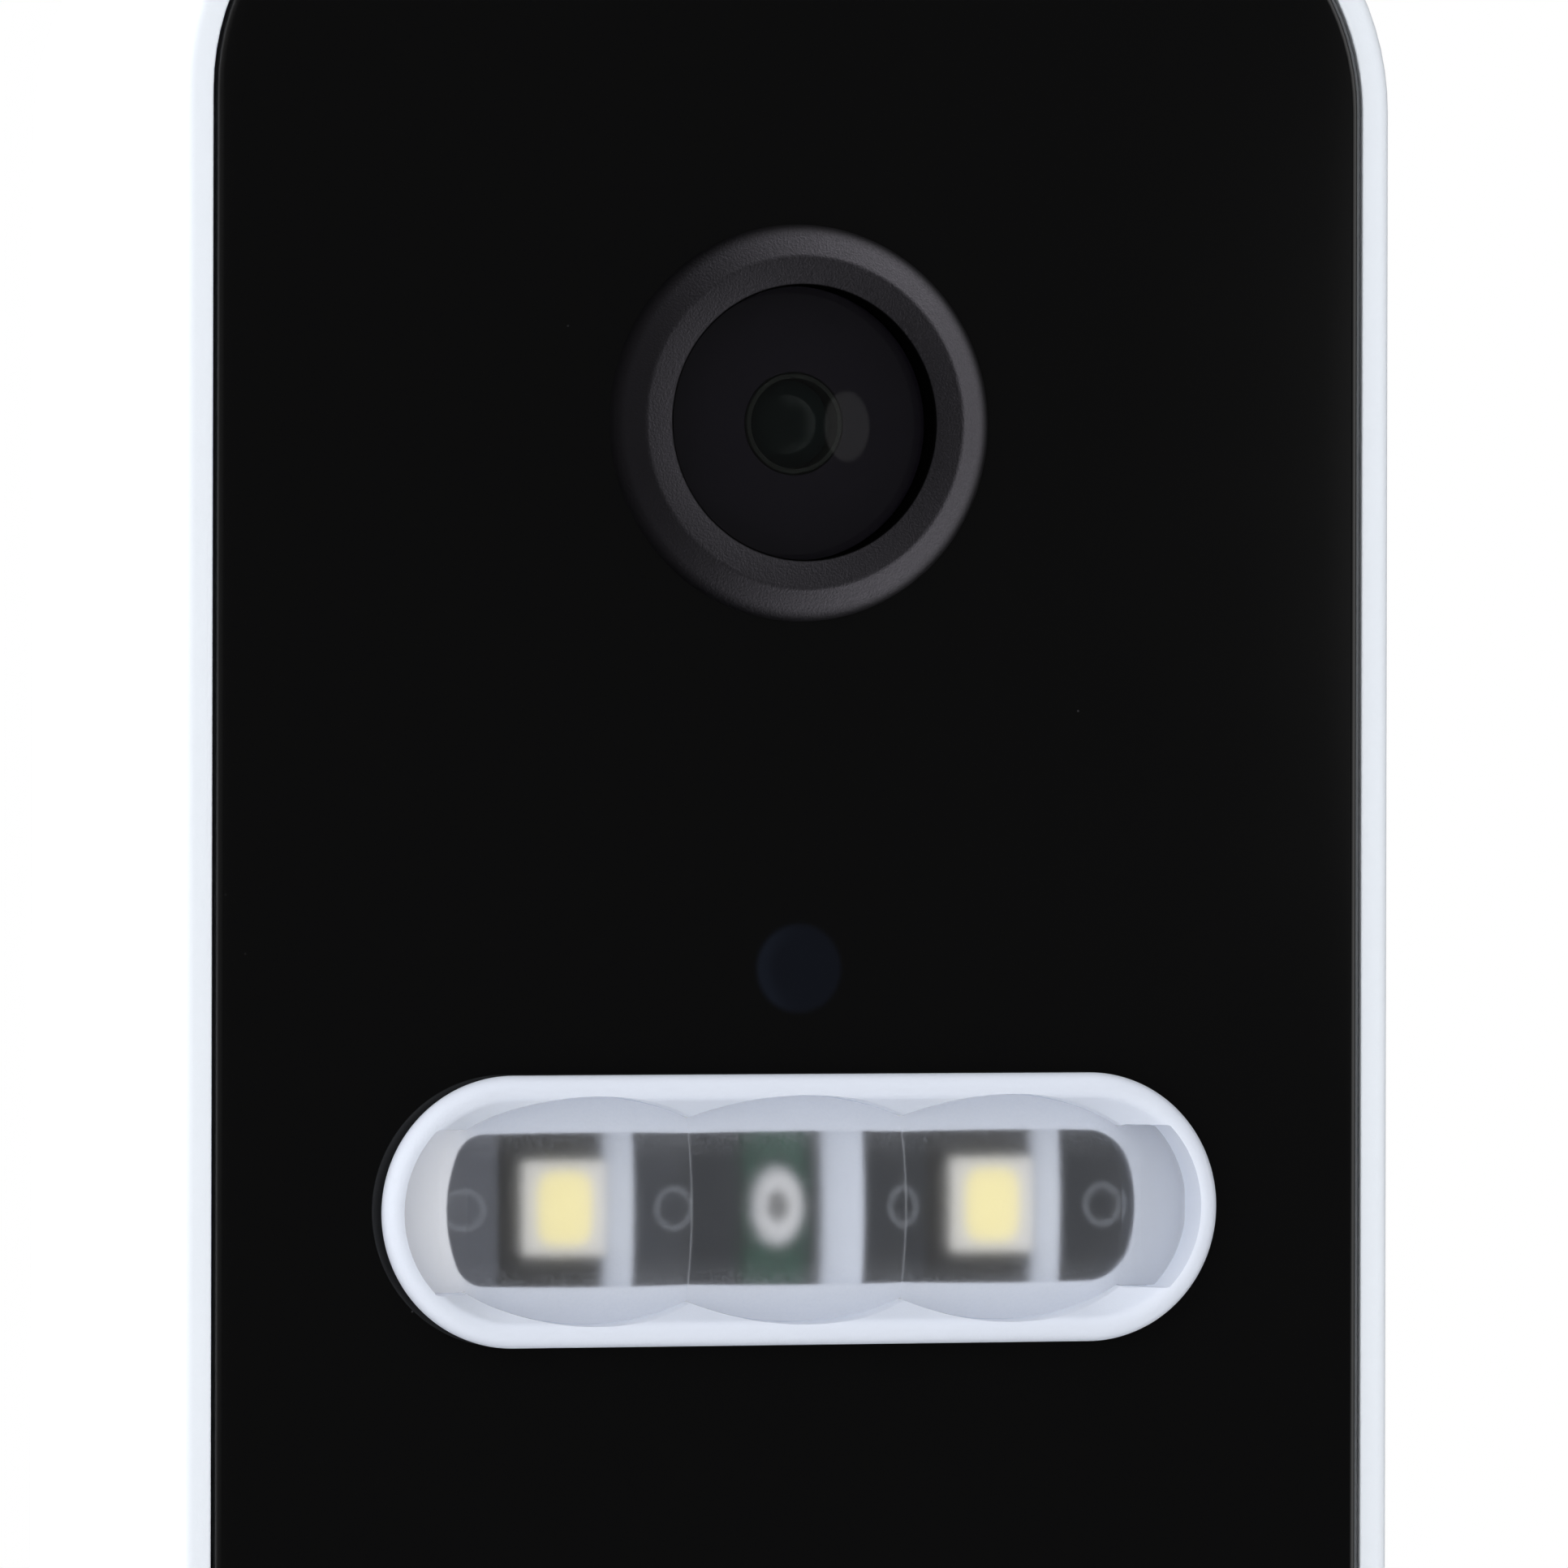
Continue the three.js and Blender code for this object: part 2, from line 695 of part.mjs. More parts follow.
const holderFront = boardFront + HOLDER_T;
add( 'lens', 'lens_holder', cut(
	blockAt( HOLDER_W, HOLDER_W, boardFront, holderFront ),
	rod( BARREL_R + GAP, boardFront - CUT, holderFront + CUT, 0, 0, MID_ROUND )
), DARK );

add( 'lens', 'image_sensor', blockAt( IMAGER_W, IMAGER_H, boardFront, imagerFront ), CHIP );

// ---------------------------------------------------------------- ambient light sensor

const sensorFront = boardFront + SENSOR_T;
add( 'sensor', 'sensor_window', rod( WINDOW_R, panelBack, panelFront ), FILTER_BLUE );
add( 'sensor', 'sensor_pipe', rod( PIPE_R, sensorFront, panelBack ), CLEAR );
add( 'sensor', 'light_sensor', blockAt( SENSOR_W, SENSOR_H, boardFront, sensorFront ), CHIP );

// ---------------------------------------------------------------- light

const lightCrest = panelFront + LIGHT_PROUD;
const domeTop = lightCrest - OPTIC_SINK;
const opticFront = domeTop - DOME_RISE;
const opticBack = opticFront - OPTIC_BASE_T;
const reflectorBack = opticBack - REFLECTOR_T;
const ribTop = opticBack - RIB_DROP;
const lightBoardFront = reflectorBack - BAFFLE_T;
const lightBoardBack = lightBoardFront - LIGHT_BOARD_T;
const lightInside = ( inset ) => stadium( LIGHT_W - 2 * inset, LIGHT_H - 2 * inset );
const opticSize = [ LIGHT_W, LIGHT_H ].map( ( side ) => side - 2 * ( LIGHT_RIM + OPTIC_GAP ) );
const ovals = [[ - DOME_X, DOME_HALF_W ], [ 0, MID_DOME_HALF_W ], [ DOME_X, DOME_HALF_W ]];

// Half the height of the light's opening: three ovals, and past them a tab with a round end.
function openingHalf( x ) {

	if ( Math.abs( x ) <= DOMES_HALF_W ) {

		const shares = ovals.map( ( [ middle, half ] ) => 1 - ( ( x - middle ) / half ) ** 2 );
		return DOME_HALF_H * Math.sqrt( Math.max( ...shares ) );

	}

	const endR = LIGHT_H / 2 - LIGHT_RIM;
	const past = Math.max( Math.abs( x ) - ( LIGHT_W - LIGHT_H ) / 2, 0 );
	return Math.min( TAB_HALF_H, Math.sqrt( Math.max( endR ** 2 - past ** 2, 0 ) ) );

}

// The opening's outline, moved in by a clearance.
function scalloped( clearance = 0 ) {

	const end = LIGHT_W / 2 - LIGHT_RIM;
	const cusp = DOME_X * MID_DOME_HALF_W / ( MID_DOME_HALF_W + DOME_HALF_W );
	const span = ( from, to, steps ) =>
		Array.from( { length: steps }, ( _, i ) => from + ( to - from ) * i / steps );
	const round = [ 0.25, 0.5, 0.7, 0.85, 0.95, 1 ]
		.map( ( share ) => DOMES_HALF_W + ( end - DOMES_HALF_W ) * share );
	const right = [
		...span( 0, cusp, 4 ), ...span( cusp, DOMES_HALF_W, 10 ), DOMES_HALF_W,
		DOMES_HALF_W + SLIP, ...round
	];
	const xs = [ ...right.slice( 1 ).map( ( x ) => - x ).reverse(), ...right ];
	const narrow = 1 - clearance / end;
	const top = xs.map( ( x ) => new THREE.Vector2( x * narrow, openingHalf( x ) - clearance ) )
		.map( ( point ) => point.setY( Math.max( point.y, 0 ) ) );
	const foot = top.slice( 1, - 1 ).reverse().map( ( point ) => new THREE.Vector2( point.x, - point.y ) );
	return new THREE.Shape( [ ...top, ...foot ] );

}

const lightFlangeBack = deckBack - LIGHT_FLANGE_T;
add( 'light', 'light_bezel', cut(
	join(
		softSlab( lightInside( 0 ), lightCrest - LIGHT_BEAD, lightCrest, LIGHT_EDGE ),
		slab( lightInside( LIGHT_NECK ), lightFlangeBack - LIGHT_EDGE, lightCrest - LIGHT_EDGE ),
		slab( lightInside( - LIGHT_FLANGE ), lightFlangeBack, deckBack )
	),
	slab( lightInside( LIGHT_RIM ), lightFlangeBack - CUT, opticBack ),
	slab( scalloped(), opticBack - CUT, lightCrest + CUT ),
	softSlab( lightInside( LIGHT_RIM ), lightCrest - LIGHT_SLOPE_DEEP, lightCrest + 2 * LIGHT_SLOPE_DEEP,
		LIGHT_SLOPE, 0, 0, LIGHT_SLOPE_DEEP )
), WHITE );

// Three wide shallow domes that run into each other, cut off at both ends, on a flat base.
function lightLens() {

	const domes = ovals.map( ( [ x, half ] ) => solid(
		new THREE.SphereGeometry( 1, 24, 12 )
			.rotateX( Math.PI / 2 )
			.scale( half, DOME_RISE, DOME_HALF_H )
			.translate( x, - opticFront, 0 )
	) );
	const keep = blockAt( 2 * DOMES_HALF_W, LIGHT_H, opticFront - SLIP, domeTop + CUT );
	const outer = slab( scalloped( OPTIC_GAP ), opticBack, domeTop + CUT );
	const base = slab( scalloped( OPTIC_GAP ), opticBack, opticFront );
	return join( base, join( ...domes ).intersect( keep ).intersect( outer ) );

}

add( 'light', 'light_lens', lightLens(), CLEAR );

// Left and right side of each pocket, and how far its ribs lean.
const pockets = [
	[ - POCKET[ 1 ], - POCKET[ 0 ], RIB_SLOPE ],
	[ - MID_POCKET_HALF, MID_POCKET_HALF, MID_RIB_SLOPE ],
	[ POCKET[ 0 ], POCKET[ 1 ], RIB_SLOPE ]
];

// The reflector's slot, crossed by two thin ribs at each pocket, which lean away from the LED.
function lightReflector() {

	const slotHalf = DOMES_HALF_W + GAP;
	const plate = cut(
		slab( stadium( ...opticSize ), reflectorBack, opticBack ),
		blockAt( 2 * slotHalf, SLOT_H, reflectorBack - CUT, opticBack + CUT )
	);
	const ribs = pockets.flatMap( ( [ left, right, slope ] ) => [[ left, - 1 ], [ right, 1 ]].map( ( [ mouth, side ] ) => {

		const section = new THREE.Shape( [
			new THREE.Vector2( mouth - side * slope, - reflectorBack ),
			new THREE.Vector2( mouth, - ribTop ),
			new THREE.Vector2( mouth + side * RIB_T, - ribTop ),
			new THREE.Vector2( mouth + side * RIB_T, - reflectorBack )
		] );
		const length = SLOT_H + 2 * SLIP;
		return solid( new THREE.ExtrudeGeometry( section, { depth: length, bevelEnabled: false } )
			.translate( 0, 0, - length / 2 ) );

	} ) );
	return join( plate, ribs );

}

add( 'light', 'light_reflector', lightReflector(), WHITE );

// A dark sheet on the board, open round each LED, with a raised strip between the pockets.
function lightBaffle() {

	const ledHole = LED_W + 2 * GAP;
	const midHole = 2 * ( MID_POCKET_HALF - MID_RIB_SLOPE - GAP );
	const [ back, front ] = [ lightBoardFront - CUT, reflectorBack + CUT ];
	const sheet = cut(
		slab( stadium( ...opticSize ), lightBoardFront, reflectorBack ),
		[ - LED_X, LED_X ].map( ( x ) => blockAt( ledHole, ledHole, back, front, x ) ),
		blockAt( midHole, SLOT_H - GAP, back, front )
	);
	const rib = RIB_T + GAP;
	const edges = [
		[ - DOMES_HALF_W, - POCKET[ 1 ] - rib ],
		[ - POCKET[ 0 ] + rib, - MID_POCKET_HALF - rib ],
		[ MID_POCKET_HALF + rib, POCKET[ 0 ] - rib ],
		[ POCKET[ 1 ] + rib, DOMES_HALF_W ]
	];
	const halfH = SLOT_H / 2 - GAP;
	const stripBack = lightBoardFront + SLIP;
	const strips = edges.map( ( [ x0, x1 ] ) => block( x0, x1, stripBack, ribTop, - halfH, halfH ) );
	const posts = edges.map( ( [ x0, x1 ] ) => {

		const r = Math.min( POST_R, ( x1 - x0 ) / 2 );
		return rod( r, ribTop - SLIP, ribTop + POST_RISE, ( x0 + x1 ) / 2 );

	} );
	return join( sheet, strips, posts );

}

add( 'light', 'light_baffle', lightBaffle(), DARK );

const ledFront = lightBoardFront + LED_T;
add( 'light', 'led_left', blockAt( LED_W, LED_W, lightBoardFront, ledFront, - LED_X ), LED_WHITE );
add( 'light', 'led_right', blockAt( LED_W, LED_W, lightBoardFront, ledFront, LED_X ), LED_WHITE );
add( 'light', 'infrared_led', rod( IR_LED_R, lightBoardFront, ledFront ), LED_WHITE );
const lightBoard = slab( stadium( ...opticSize ), lightBoardBack, lightBoardFront );
add( 'light', 'light_board', lightBoard, BOARD_GREEN );
add( 'light', 'light_connector', blockAt( PLUG_W, PLUG_H, boardFront, lightBoardBack ), CHIP );

// ---------------------------------------------------------------- button

const flangeBack = capBack;
const flangeFront = flangeBack + CAP_FLANGE_T;
const ringStepDepth = panelFront - RING_STEP_DEEP;
const ringFront = panelFront + RING_PROUD;

// The cap's dished front, from its centre to the rounded edge.
const capDish = [];
for ( let i = 0; i <= CAP_STEPS; i ++ ) {

	const share = i / CAP_STEPS;
	capDish.push( [ ( CAP_R - CAP_EDGE ) * share, capFront - CAP_DISH * ( 1 - share * share ) ] );

}

add( 'button', 'button_cap', turned( [
	...capDish,
	[ CAP_R, capFront - CAP_EDGE ],
	[ CAP_R, flangeFront ],
	[ CAP_R + CAP_FLANGE, flangeFront ],
	[ CAP_R + CAP_FLANGE, flangeBack ],
	[ 0, flangeBack ]
] ), SATIN_BLACK );

add( 'button', 'button_ring', turned( [
	[ CAP_R + GAP, ringFront ],
	[ ringOuterR, ringFront ],
	[ ringOuterR, deckBack ],
	[ ringOuterR + RING_FLANGE, deckBack ],
	[ ringOuterR + RING_FLANGE, deckBack - RING_FLANGE_T ],
	[ ringOuterR, deckBack - RING_FLANGE_T ],
	[ ringOuterR, ringFront - RING_LENGTH ],
	[ CAP_R + GAP + RING_STEP, ringFront - RING_LENGTH ],
	[ CAP_R + GAP + RING_STEP, ringStepDepth ],
	[ CAP_R + GAP, ringStepDepth ],
	[ CAP_R + GAP, ringFront ]
] ), CLEAR );

const switchFront = boardFront + SWITCH_T;
const switchBore = boardFront + SWITCH_FLOOR;
add( 'button', 'button_plunger', join(
	rod( PLUNGER_HEAD_R, capBack - PLUNGER_HEAD_T, capBack ),
	rod( PLUNGER_R, switchFront - PLUNGER_SINK, capBack - PLUNGER_HEAD_T + SLIP )
), DARK );

add( 'button', 'button_switch', cut(
	blockAt( SWITCH_W, SWITCH_W, boardFront, switchFront ),
	rod( PLUNGER_R + GAP, switchBore, switchFront + CUT )
), STEEL );

const padFront = capBack - BUTTON_TRAVEL - GAP;
add( 'button', 'button_pad', ring( PAD_R_IN, PAD_R_OUT, boardFront, padFront, MID_ROUND ), RUBBER );

[ 'left', 'right' ].forEach( ( side, i ) => {

	const x = ( 2 * i - 1 ) * ( ringOuterR - RING_W / 2 );
	const led = blockAt( RING_LED_W, RING_LED_W, boardFront, boardFront + RING_LED_T, x );
	add( 'button', `ring_led_${ side }`, led, LED_WHITE );

} );

// ---------------------------------------------------------------- microphone

const micFront = boardFront + MIC_T;
add( 'mic', 'microphone', blockAt( MIC_W, MIC_H, boardFront, micFront ), STEEL );
add( 'mic', 'microphone_seal',
	ring( MIC_HOLE_R + SLIP, MIC_SEAL_R, micFront, panelBack, SMALL_ROUND ), RUBBER );

// ---------------------------------------------------------------- main board and what is on it

function mainBoard() {

	const side = BODY_W / 2 - WALL - BOARD_SIDE_GAP;
	const [ boardFoot, boardTop ] = [ innerFoot + BOARD_FOOT_GAP, top - WALL - BOARD_SIDE_GAP ];
	const plate = block( - side, side, boardBack, boardFront, boardFoot, boardTop );
	const [ back, front ] = [ boardBack - CUT, boardFront + CUT ];
	const outward = BODY_R - BOSS_R - GAP; // from a boss to the middle of the corner cut round it
	const notches = bossSpots.map( ( [ x, z ] ) => blockAt(
		2 * BODY_R, 2 * BODY_R, back, front, x + Math.sign( x ) * outward, z + Math.sign( z ) * outward
	) );
	const holes = postSpots.map( ( [ x, z ] ) => rod( SCREW_R + GAP, back, front, x, z ) );
	return cut( plate, notches, holes );

}

add( 'body', 'main_board', mainBoard(), BOARD_GREEN );

const canZ = lensZ - CAN_DROP;
add( 'body', 'shield_can', blockAt( CAN_W, CAN_H, boardFront, boardFront + CAN_T, 0, canZ ), STEEL );

const antennaZ = top - ANTENNA_DROP;
const antenna = blockAt( ANTENNA_W, ANTENNA_H, boardFront, boardFront + ANTENNA_T, 0, antennaZ );
add( 'body', 'wifi_antenna', antenna, BRASS );

// ---------------------------------------------------------------- battery

const pocketTop = hookZ[ 1 ] + hookTop + GAP + POCKET_WALL;
const batteryW = BODY_W - 2 * ( WALL + TONGUE_GAP + TONGUE_T + BATTERY_SIDE );
const batteryFoot = pocketTop + BATTERY_CLEAR;
const batteryTop = bayZ - BAY_H / 2 - BAY_WALL - BATTERY_TOP_CLEAR;
const batteryH = batteryTop - batteryFoot;
const batteryZ = ( batteryTop + batteryFoot ) / 2;
const batteryBack = coverFront + BATTERY_PAD_T;
const padSize = [ batteryW - 2 * BATTERY_PAD_INSET, batteryH - 2 * BATTERY_PAD_INSET ];

const batteryShape = roundedRect( batteryW, batteryH, BATTERY_R );
const batteryFront = boardBack - BATTERY_GAP;

add( 'body', 'battery_pack',
	softSlab( batteryShape, batteryBack, batteryFront, BATTERY_EDGE, 0, batteryZ ), CELL_BLUE );
add( 'body', 'battery_pad', blockAt( ...padSize, coverFront, batteryBack, 0, batteryZ ), FOAM );

const batteryPlugX = batteryW / 2 - BATTERY_PLUG_W;
const batteryPlugZ = batteryTop + GAP + BATTERY_PLUG_H / 2;
const batteryPlugBack = boardBack - BATTERY_PLUG_T;
add( 'body', 'battery_connector', blockAt(
	BATTERY_PLUG_W, BATTERY_PLUG_H, batteryPlugBack, boardBack, batteryPlugX, batteryPlugZ
), LED_WHITE );

// ---------------------------------------------------------------- rear cover

const bayFloor = coverBack + BAY_DEEP;
const bayFront = bayFloor + BAY_WALL;
const terminalTip = boardBack - GAP;
const terminalXs = [ - TERMINAL_X, TERMINAL_X ];

function rearCover() {

	const shell = cut(
		softSlab( outline( 0 ), SKIRT_LIFT, seamDepth, EDGE ),
		slab( outline( WALL ), SKIRT_LIFT - CUT, coverBack ),
		slab( outline( WALL ), coverFront, seamDepth + CUT )
	);
	const tongueOuter = WALL + TONGUE_GAP;
	const tongue = band( tongueOuter, tongueOuter + TONGUE_T, coverFront - SLIP, tongueFront );
	const bay = blockAt( BAY_W + 2 * BAY_WALL, BAY_H + 2 * BAY_WALL, coverFront - SLIP, bayFront, 0, bayZ );
	const tubes = terminalXs.map( ( x ) =>
		rod( TERMINAL_TUBE_R, bayFront - SLIP, terminalTip, x, bayZ ) );
	const guideFront = coverFront + GUIDE_LENGTH;
	const guide = rod( TAMPER_R + GAP + GUIDE_WALL, coverFront - SLIP, guideFront, 0, serviceZ );
	const lock = block(
		- LOCK_W / 2, LOCK_W / 2, SKIRT_LIFT, coverBack + SLIP, innerFoot - SLIP, innerFoot + LOCK_RISE
	);
	return cut(
		join( shell, tongue, bay, tubes, guide, hookPockets( POCKET_WALL ), lock ),
		blockAt( BAY_W, BAY_H, coverBack - CUT, bayFloor, 0, bayZ ),
		terminalXs.map( ( x ) => rod( TERMINAL_R + GAP, bayFloor - CUT, terminalTip + CUT, x, bayZ ) ),
		rod( TAMPER_R + GAP, coverBack - CUT, guideFront + CUT, 0, serviceZ ),
		rod( RESET_R + GAP, coverBack - CUT, coverFront + CUT, RESET_X, serviceZ ),
		hookPockets( 0 ),
		hookSlots(),
		coverScrewHoles(),
		lockHole()
	);

}

// The pockets that take the bracket's hooks, or the walls round them.
function hookPockets( wall ) {

	const half = HOOK_W / 2 + GAP + wall;
	return hookSpots().map( ( [ x, z ] ) => block(
		x - half, x + half,
		coverFront - SLIP, coverFront + LIP_T + 2 * GAP + wall,
		z - LIFT - GAP - wall, z + hookTop + GAP + wall
	) );

}

function hookSlots() {

	const half = HOOK_W / 2 + GAP;
	return hookSpots().map( ( [ x, z ] ) => block(
		x - half, x + half, coverBack - CUT, coverFront + SLIP, z - LIFT - GAP, z + STEM_H + GAP
	) );

}

// The lowest point of each hook.
function hookSpots() {

	return hookZ.flatMap( ( z ) => [[ - hookX, z ], [ hookX, z ]] );

}

function coverScrewHoles() {

	return bossSpots.flatMap( ( [ x, z ] ) => [
		rod( SCREW_R + GAP, coverBack - CUT, coverFront + CUT, x, z ),
		rod( SCREW_HEAD_R + GAP, coverBack - CUT, coverFront - GAP, x, z )
	] );

}

// An upright turned piece between two heights, at a place across and through the body.
function upright( r, z0, z1, x, depth ) {

	const geometry = new THREE.CylinderGeometry( r, r, z1 - z0, SMALL_ROUND );
	return solid( geometry.rotateX( Math.PI / 2 ).translate( x, - depth, ( z0 + z1 ) / 2 ) );

}

const lockDepth = SKIRT_LIFT + LOCK_HEAD_WALL + GAP + LOCK_HEAD_R;
const lockHeadTop = foot + SCREW_HEAD_T + GAP;
const lockTip = innerFoot + LOCK_RISE - GAP;

const lockHole = () => [
	upright( SCREW_R + GAP, foot - CUT, innerFoot + LOCK_RISE + CUT, 0, lockDepth ),
	upright( LOCK_HEAD_R + GAP, foot - CUT, lockHeadTop + SLIP, 0, lockDepth )
];

add( 'body', 'rear_cover', rearCover(), WHITE );
add( 'body', 'cover_gasket', band( GASKET_INSET, WALL, seamDepth, housingBack ), WHITE_RUBBER );

add( 'body', 'security_screw', join(
	upright( LOCK_HEAD_R, foot + GAP, lockHeadTop, 0, lockDepth ),
	upright( SCREW_R, lockHeadTop - SLIP, lockTip, 0, lockDepth )
), STEEL );

// A screw driven forwards, its head against the given depth.
const screw = ( headFront, length, x, z ) => join(
	rod( SCREW_HEAD_R, headFront - SCREW_HEAD_T, headFront, x, z ),
	rod( SCREW_R, headFront - SLIP, headFront + length, x, z )
);

bossSpots.forEach( ( [ x, z ], i ) =>
	add( 'body', `cover_screw_${ i + 1 }`, screw( coverFront - GAP, SCREW_LENGTH, x, z ), STEEL ) );
postSpots.forEach( ( [ x, z ], i ) =>
	add( 'body', `board_screw_${ i + 1 }`, screw( boardBack, BOARD_SCREW_LENGTH, x, z ), STEEL ) );

// ---------------------------------------------------------------- terminals

const plateBack = bayFloor - TERMINAL_PLATE_T;
terminalXs.forEach( ( x, i ) => {

	const side = [ 'left', 'right' ][ i ];
	add( 'body', `terminal_plate_${ side }`, cut(
		blockAt( TERMINAL_PLATE_W, TERMINAL_PLATE_W, plateBack, bayFloor, x, bayZ ),
		rod( TERMINAL_R + GAP, plateBack - CUT, bayFloor + CUT, x, bayZ )
	), BRASS );
	add( 'body', `terminal_screw_${ side }`, join(
		rod( TERMINAL_HEAD_R, plateBack - TERMINAL_HEAD_T, plateBack, x, bayZ ),
		rod( TERMINAL_R, plateBack - SLIP, terminalTip, x, bayZ )
	), STEEL );

} );

// ---------------------------------------------------------------- buttons in the back

const smallSwitchBack = boardBack - SMALL_SWITCH_T;
const rodTip = smallSwitchBack + ROD_SINK;

// A block on the back of the board with a bore for the rod of the piece that works it.
function smallSwitch( x, travel ) {

	const boreFront = rodTip + travel + GAP;
	return cut(
		blockAt( SMALL_SWITCH_W, SMALL_SWITCH_W, smallSwitchBack, boardBack, x, serviceZ ),
		rod( ROD_R + GAP, smallSwitchBack - CUT, boreFront, x, serviceZ )
	);

}

// A cap or pin that sticks out of the back, its flange inside the cover, and its rod.
function backPlunger( r, tip, seat, x ) {

	const flangeEnd = seat + SERVICE_FLANGE_T;
	return join(
		rod( r, tip, seat + SLIP, x, serviceZ ),
		rod( r + SERVICE_FLANGE, seat, flangeEnd, x, serviceZ ),
		rod( ROD_R, flangeEnd - SLIP, rodTip, x, serviceZ )
	);

}

add( 'body', 'reset_button', backPlunger( RESET_R, coverBack, coverFront + GAP, RESET_X ), RUBBER );
add( 'body', 'reset_switch', smallSwitch( RESET_X, RESET_TRAVEL ), STEEL );
const tamperSeat = coverFront + GUIDE_LENGTH + GAP;
add( 'body', 'tamper_plunger', backPlunger( TAMPER_R, BRACKET_T + GAP, tamperSeat, 0 ), DARK );
add( 'body', 'tamper_switch', smallSwitch( 0, TAMPER_TRAVEL ), STEEL );

// ---------------------------------------------------------------- speaker

const speakerTop = innerFoot + MESH_T + SPEAKER_H;
const speakerDepth = ( speakerFront + speakerBack ) / 2;
const magnetR = ( speakerFront - speakerBack ) / 2 - MAGNET_INSET;

add( 'body', 'speaker_mesh', blockAt(
	speakerW, MESH_T, speakerBack, speakerFront, speakerX, innerFoot + MESH_T / 2
), DARK );

const speakerShape = roundedRect( speakerW, SPEAKER_H, SPEAKER_EDGE );
add( 'body', 'speaker', join(
	slab( speakerShape, speakerBack, speakerFront, speakerX, speakerTop - SPEAKER_H / 2 ),
	upright( magnetR, speakerTop - SLIP, speakerTop + MAGNET_H, speakerX, speakerDepth )
), CHIP );

// ---------------------------------------------------------------- charging port

const portMouth = innerFoot + GAP;
const portEnd = portMouth + PORT_LENGTH;

add( 'body', 'usb_port', cut(
	onPort( PORT_W, PORT_T, portMouth, portEnd ),
	onPort( PORT_W - 2 * PORT_WALL, PORT_T - 2 * PORT_WALL, portMouth - CUT, portEnd - PORT_WALL )
), STEEL );

const flapFoot = foot + FLAP_SINK;
const flapTop = flapFoot + FLAP_T;

add( 'body', 'usb_flap', join(
	onPort( FLAP_W, FLAP_H, flapFoot, flapTop ),
	onPort( FLAP_PLUG_W, FLAP_PLUG_T, flapTop - SLIP, flapTop + FLAP_PLUG_LENGTH )
), RUBBER );

// ---------------------------------------------------------------- bracket

function wallBracket() {

	const bracketW = BODY_W - 2 * ( WALL + BRACKET_SIDE_GAP );
	const bracketTop = top - WALL - BRACKET_SIDE_GAP;
	const bracketFoot = innerFoot + LIFT + GAP;
	const shape = roundedRect( bracketW, bracketTop - bracketFoot, BRACKET_R );
	const plate = slab( shape, 0, BRACKET_T, 0, ( bracketTop + bracketFoot ) / 2 );
	const hooks = hookSpots().flatMap( ( [ x, z ] ) => [
		block( x - HOOK_W / 2, x + HOOK_W / 2, BRACKET_T - SLIP, coverFront + GAP + LIP_T, z, z + STEM_H ),
		block( x - HOOK_W / 2, x + HOOK_W / 2, coverFront + GAP, coverFront + GAP + LIP_T, z, z + hookTop )
	] );
	return cut( join( plate, hooks ), bracketHoles( bracketFoot ) );

}

function bracketHoles( bracketFoot ) {

	const windowW = BAY_W + 2 * WINDOW_MARGIN;
	const windowH = BAY_H + 2 * WINDOW_MARGIN;
	const headBack = BRACKET_T - WALL_SLOT_HEAD_DEEP;
	const headLength = WALL_SLOT_LENGTH + WALL_SLOT_HEAD_W - WALL_SLOT_W;
	const through = ( shape, z ) => slab( shape, - CUT, BRACKET_T + CUT, 0, z );
	const sunk = ( shape, z ) => slab( shape, headBack, BRACKET_T + CUT, 0, z );
	const notchHalf = LOCK_W / 2 + LOCK_GAP;
	const notchTop = innerFoot + LOCK_RISE + LIFT + LOCK_GAP;
	return [
		through( roundedRect( windowW, windowH, WINDOW_CORNER ), bayZ ),
		through( stadium( WALL_SLOT_W, WALL_SLOT_LENGTH ), wallSlotZ[ 0 ] ),
		sunk( stadium( WALL_SLOT_HEAD_W, headLength ), wallSlotZ[ 0 ] ),
		through( stadium( WALL_SLOT_LENGTH, WALL_SLOT_W ), wallSlotZ[ 1 ] ),
		sunk( stadium( headLength, WALL_SLOT_HEAD_W ), wallSlotZ[ 1 ] ),
		block( - notchHalf, notchHalf, - CUT, BRACKET_T + CUT, bracketFoot - CUT, notchTop )
	];

}

add( 'body', 'wall_bracket', wallBracket(), BRACKET_GREY );

export default doorbell;
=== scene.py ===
"""A battery video doorbell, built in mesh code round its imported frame.

Sizes here are in millimetres unless a name says otherwise. A point is (x, depth, z), where
depth is the distance in front of the wall, so a depth d is y = -d.
"""

import functools
import math

import bmesh
import bpy
import numpy as np
from bpy.props import FloatProperty, FloatVectorProperty, PointerProperty
from bpy.types import Operator, Panel, PropertyGroup
from mathutils import Matrix, Vector


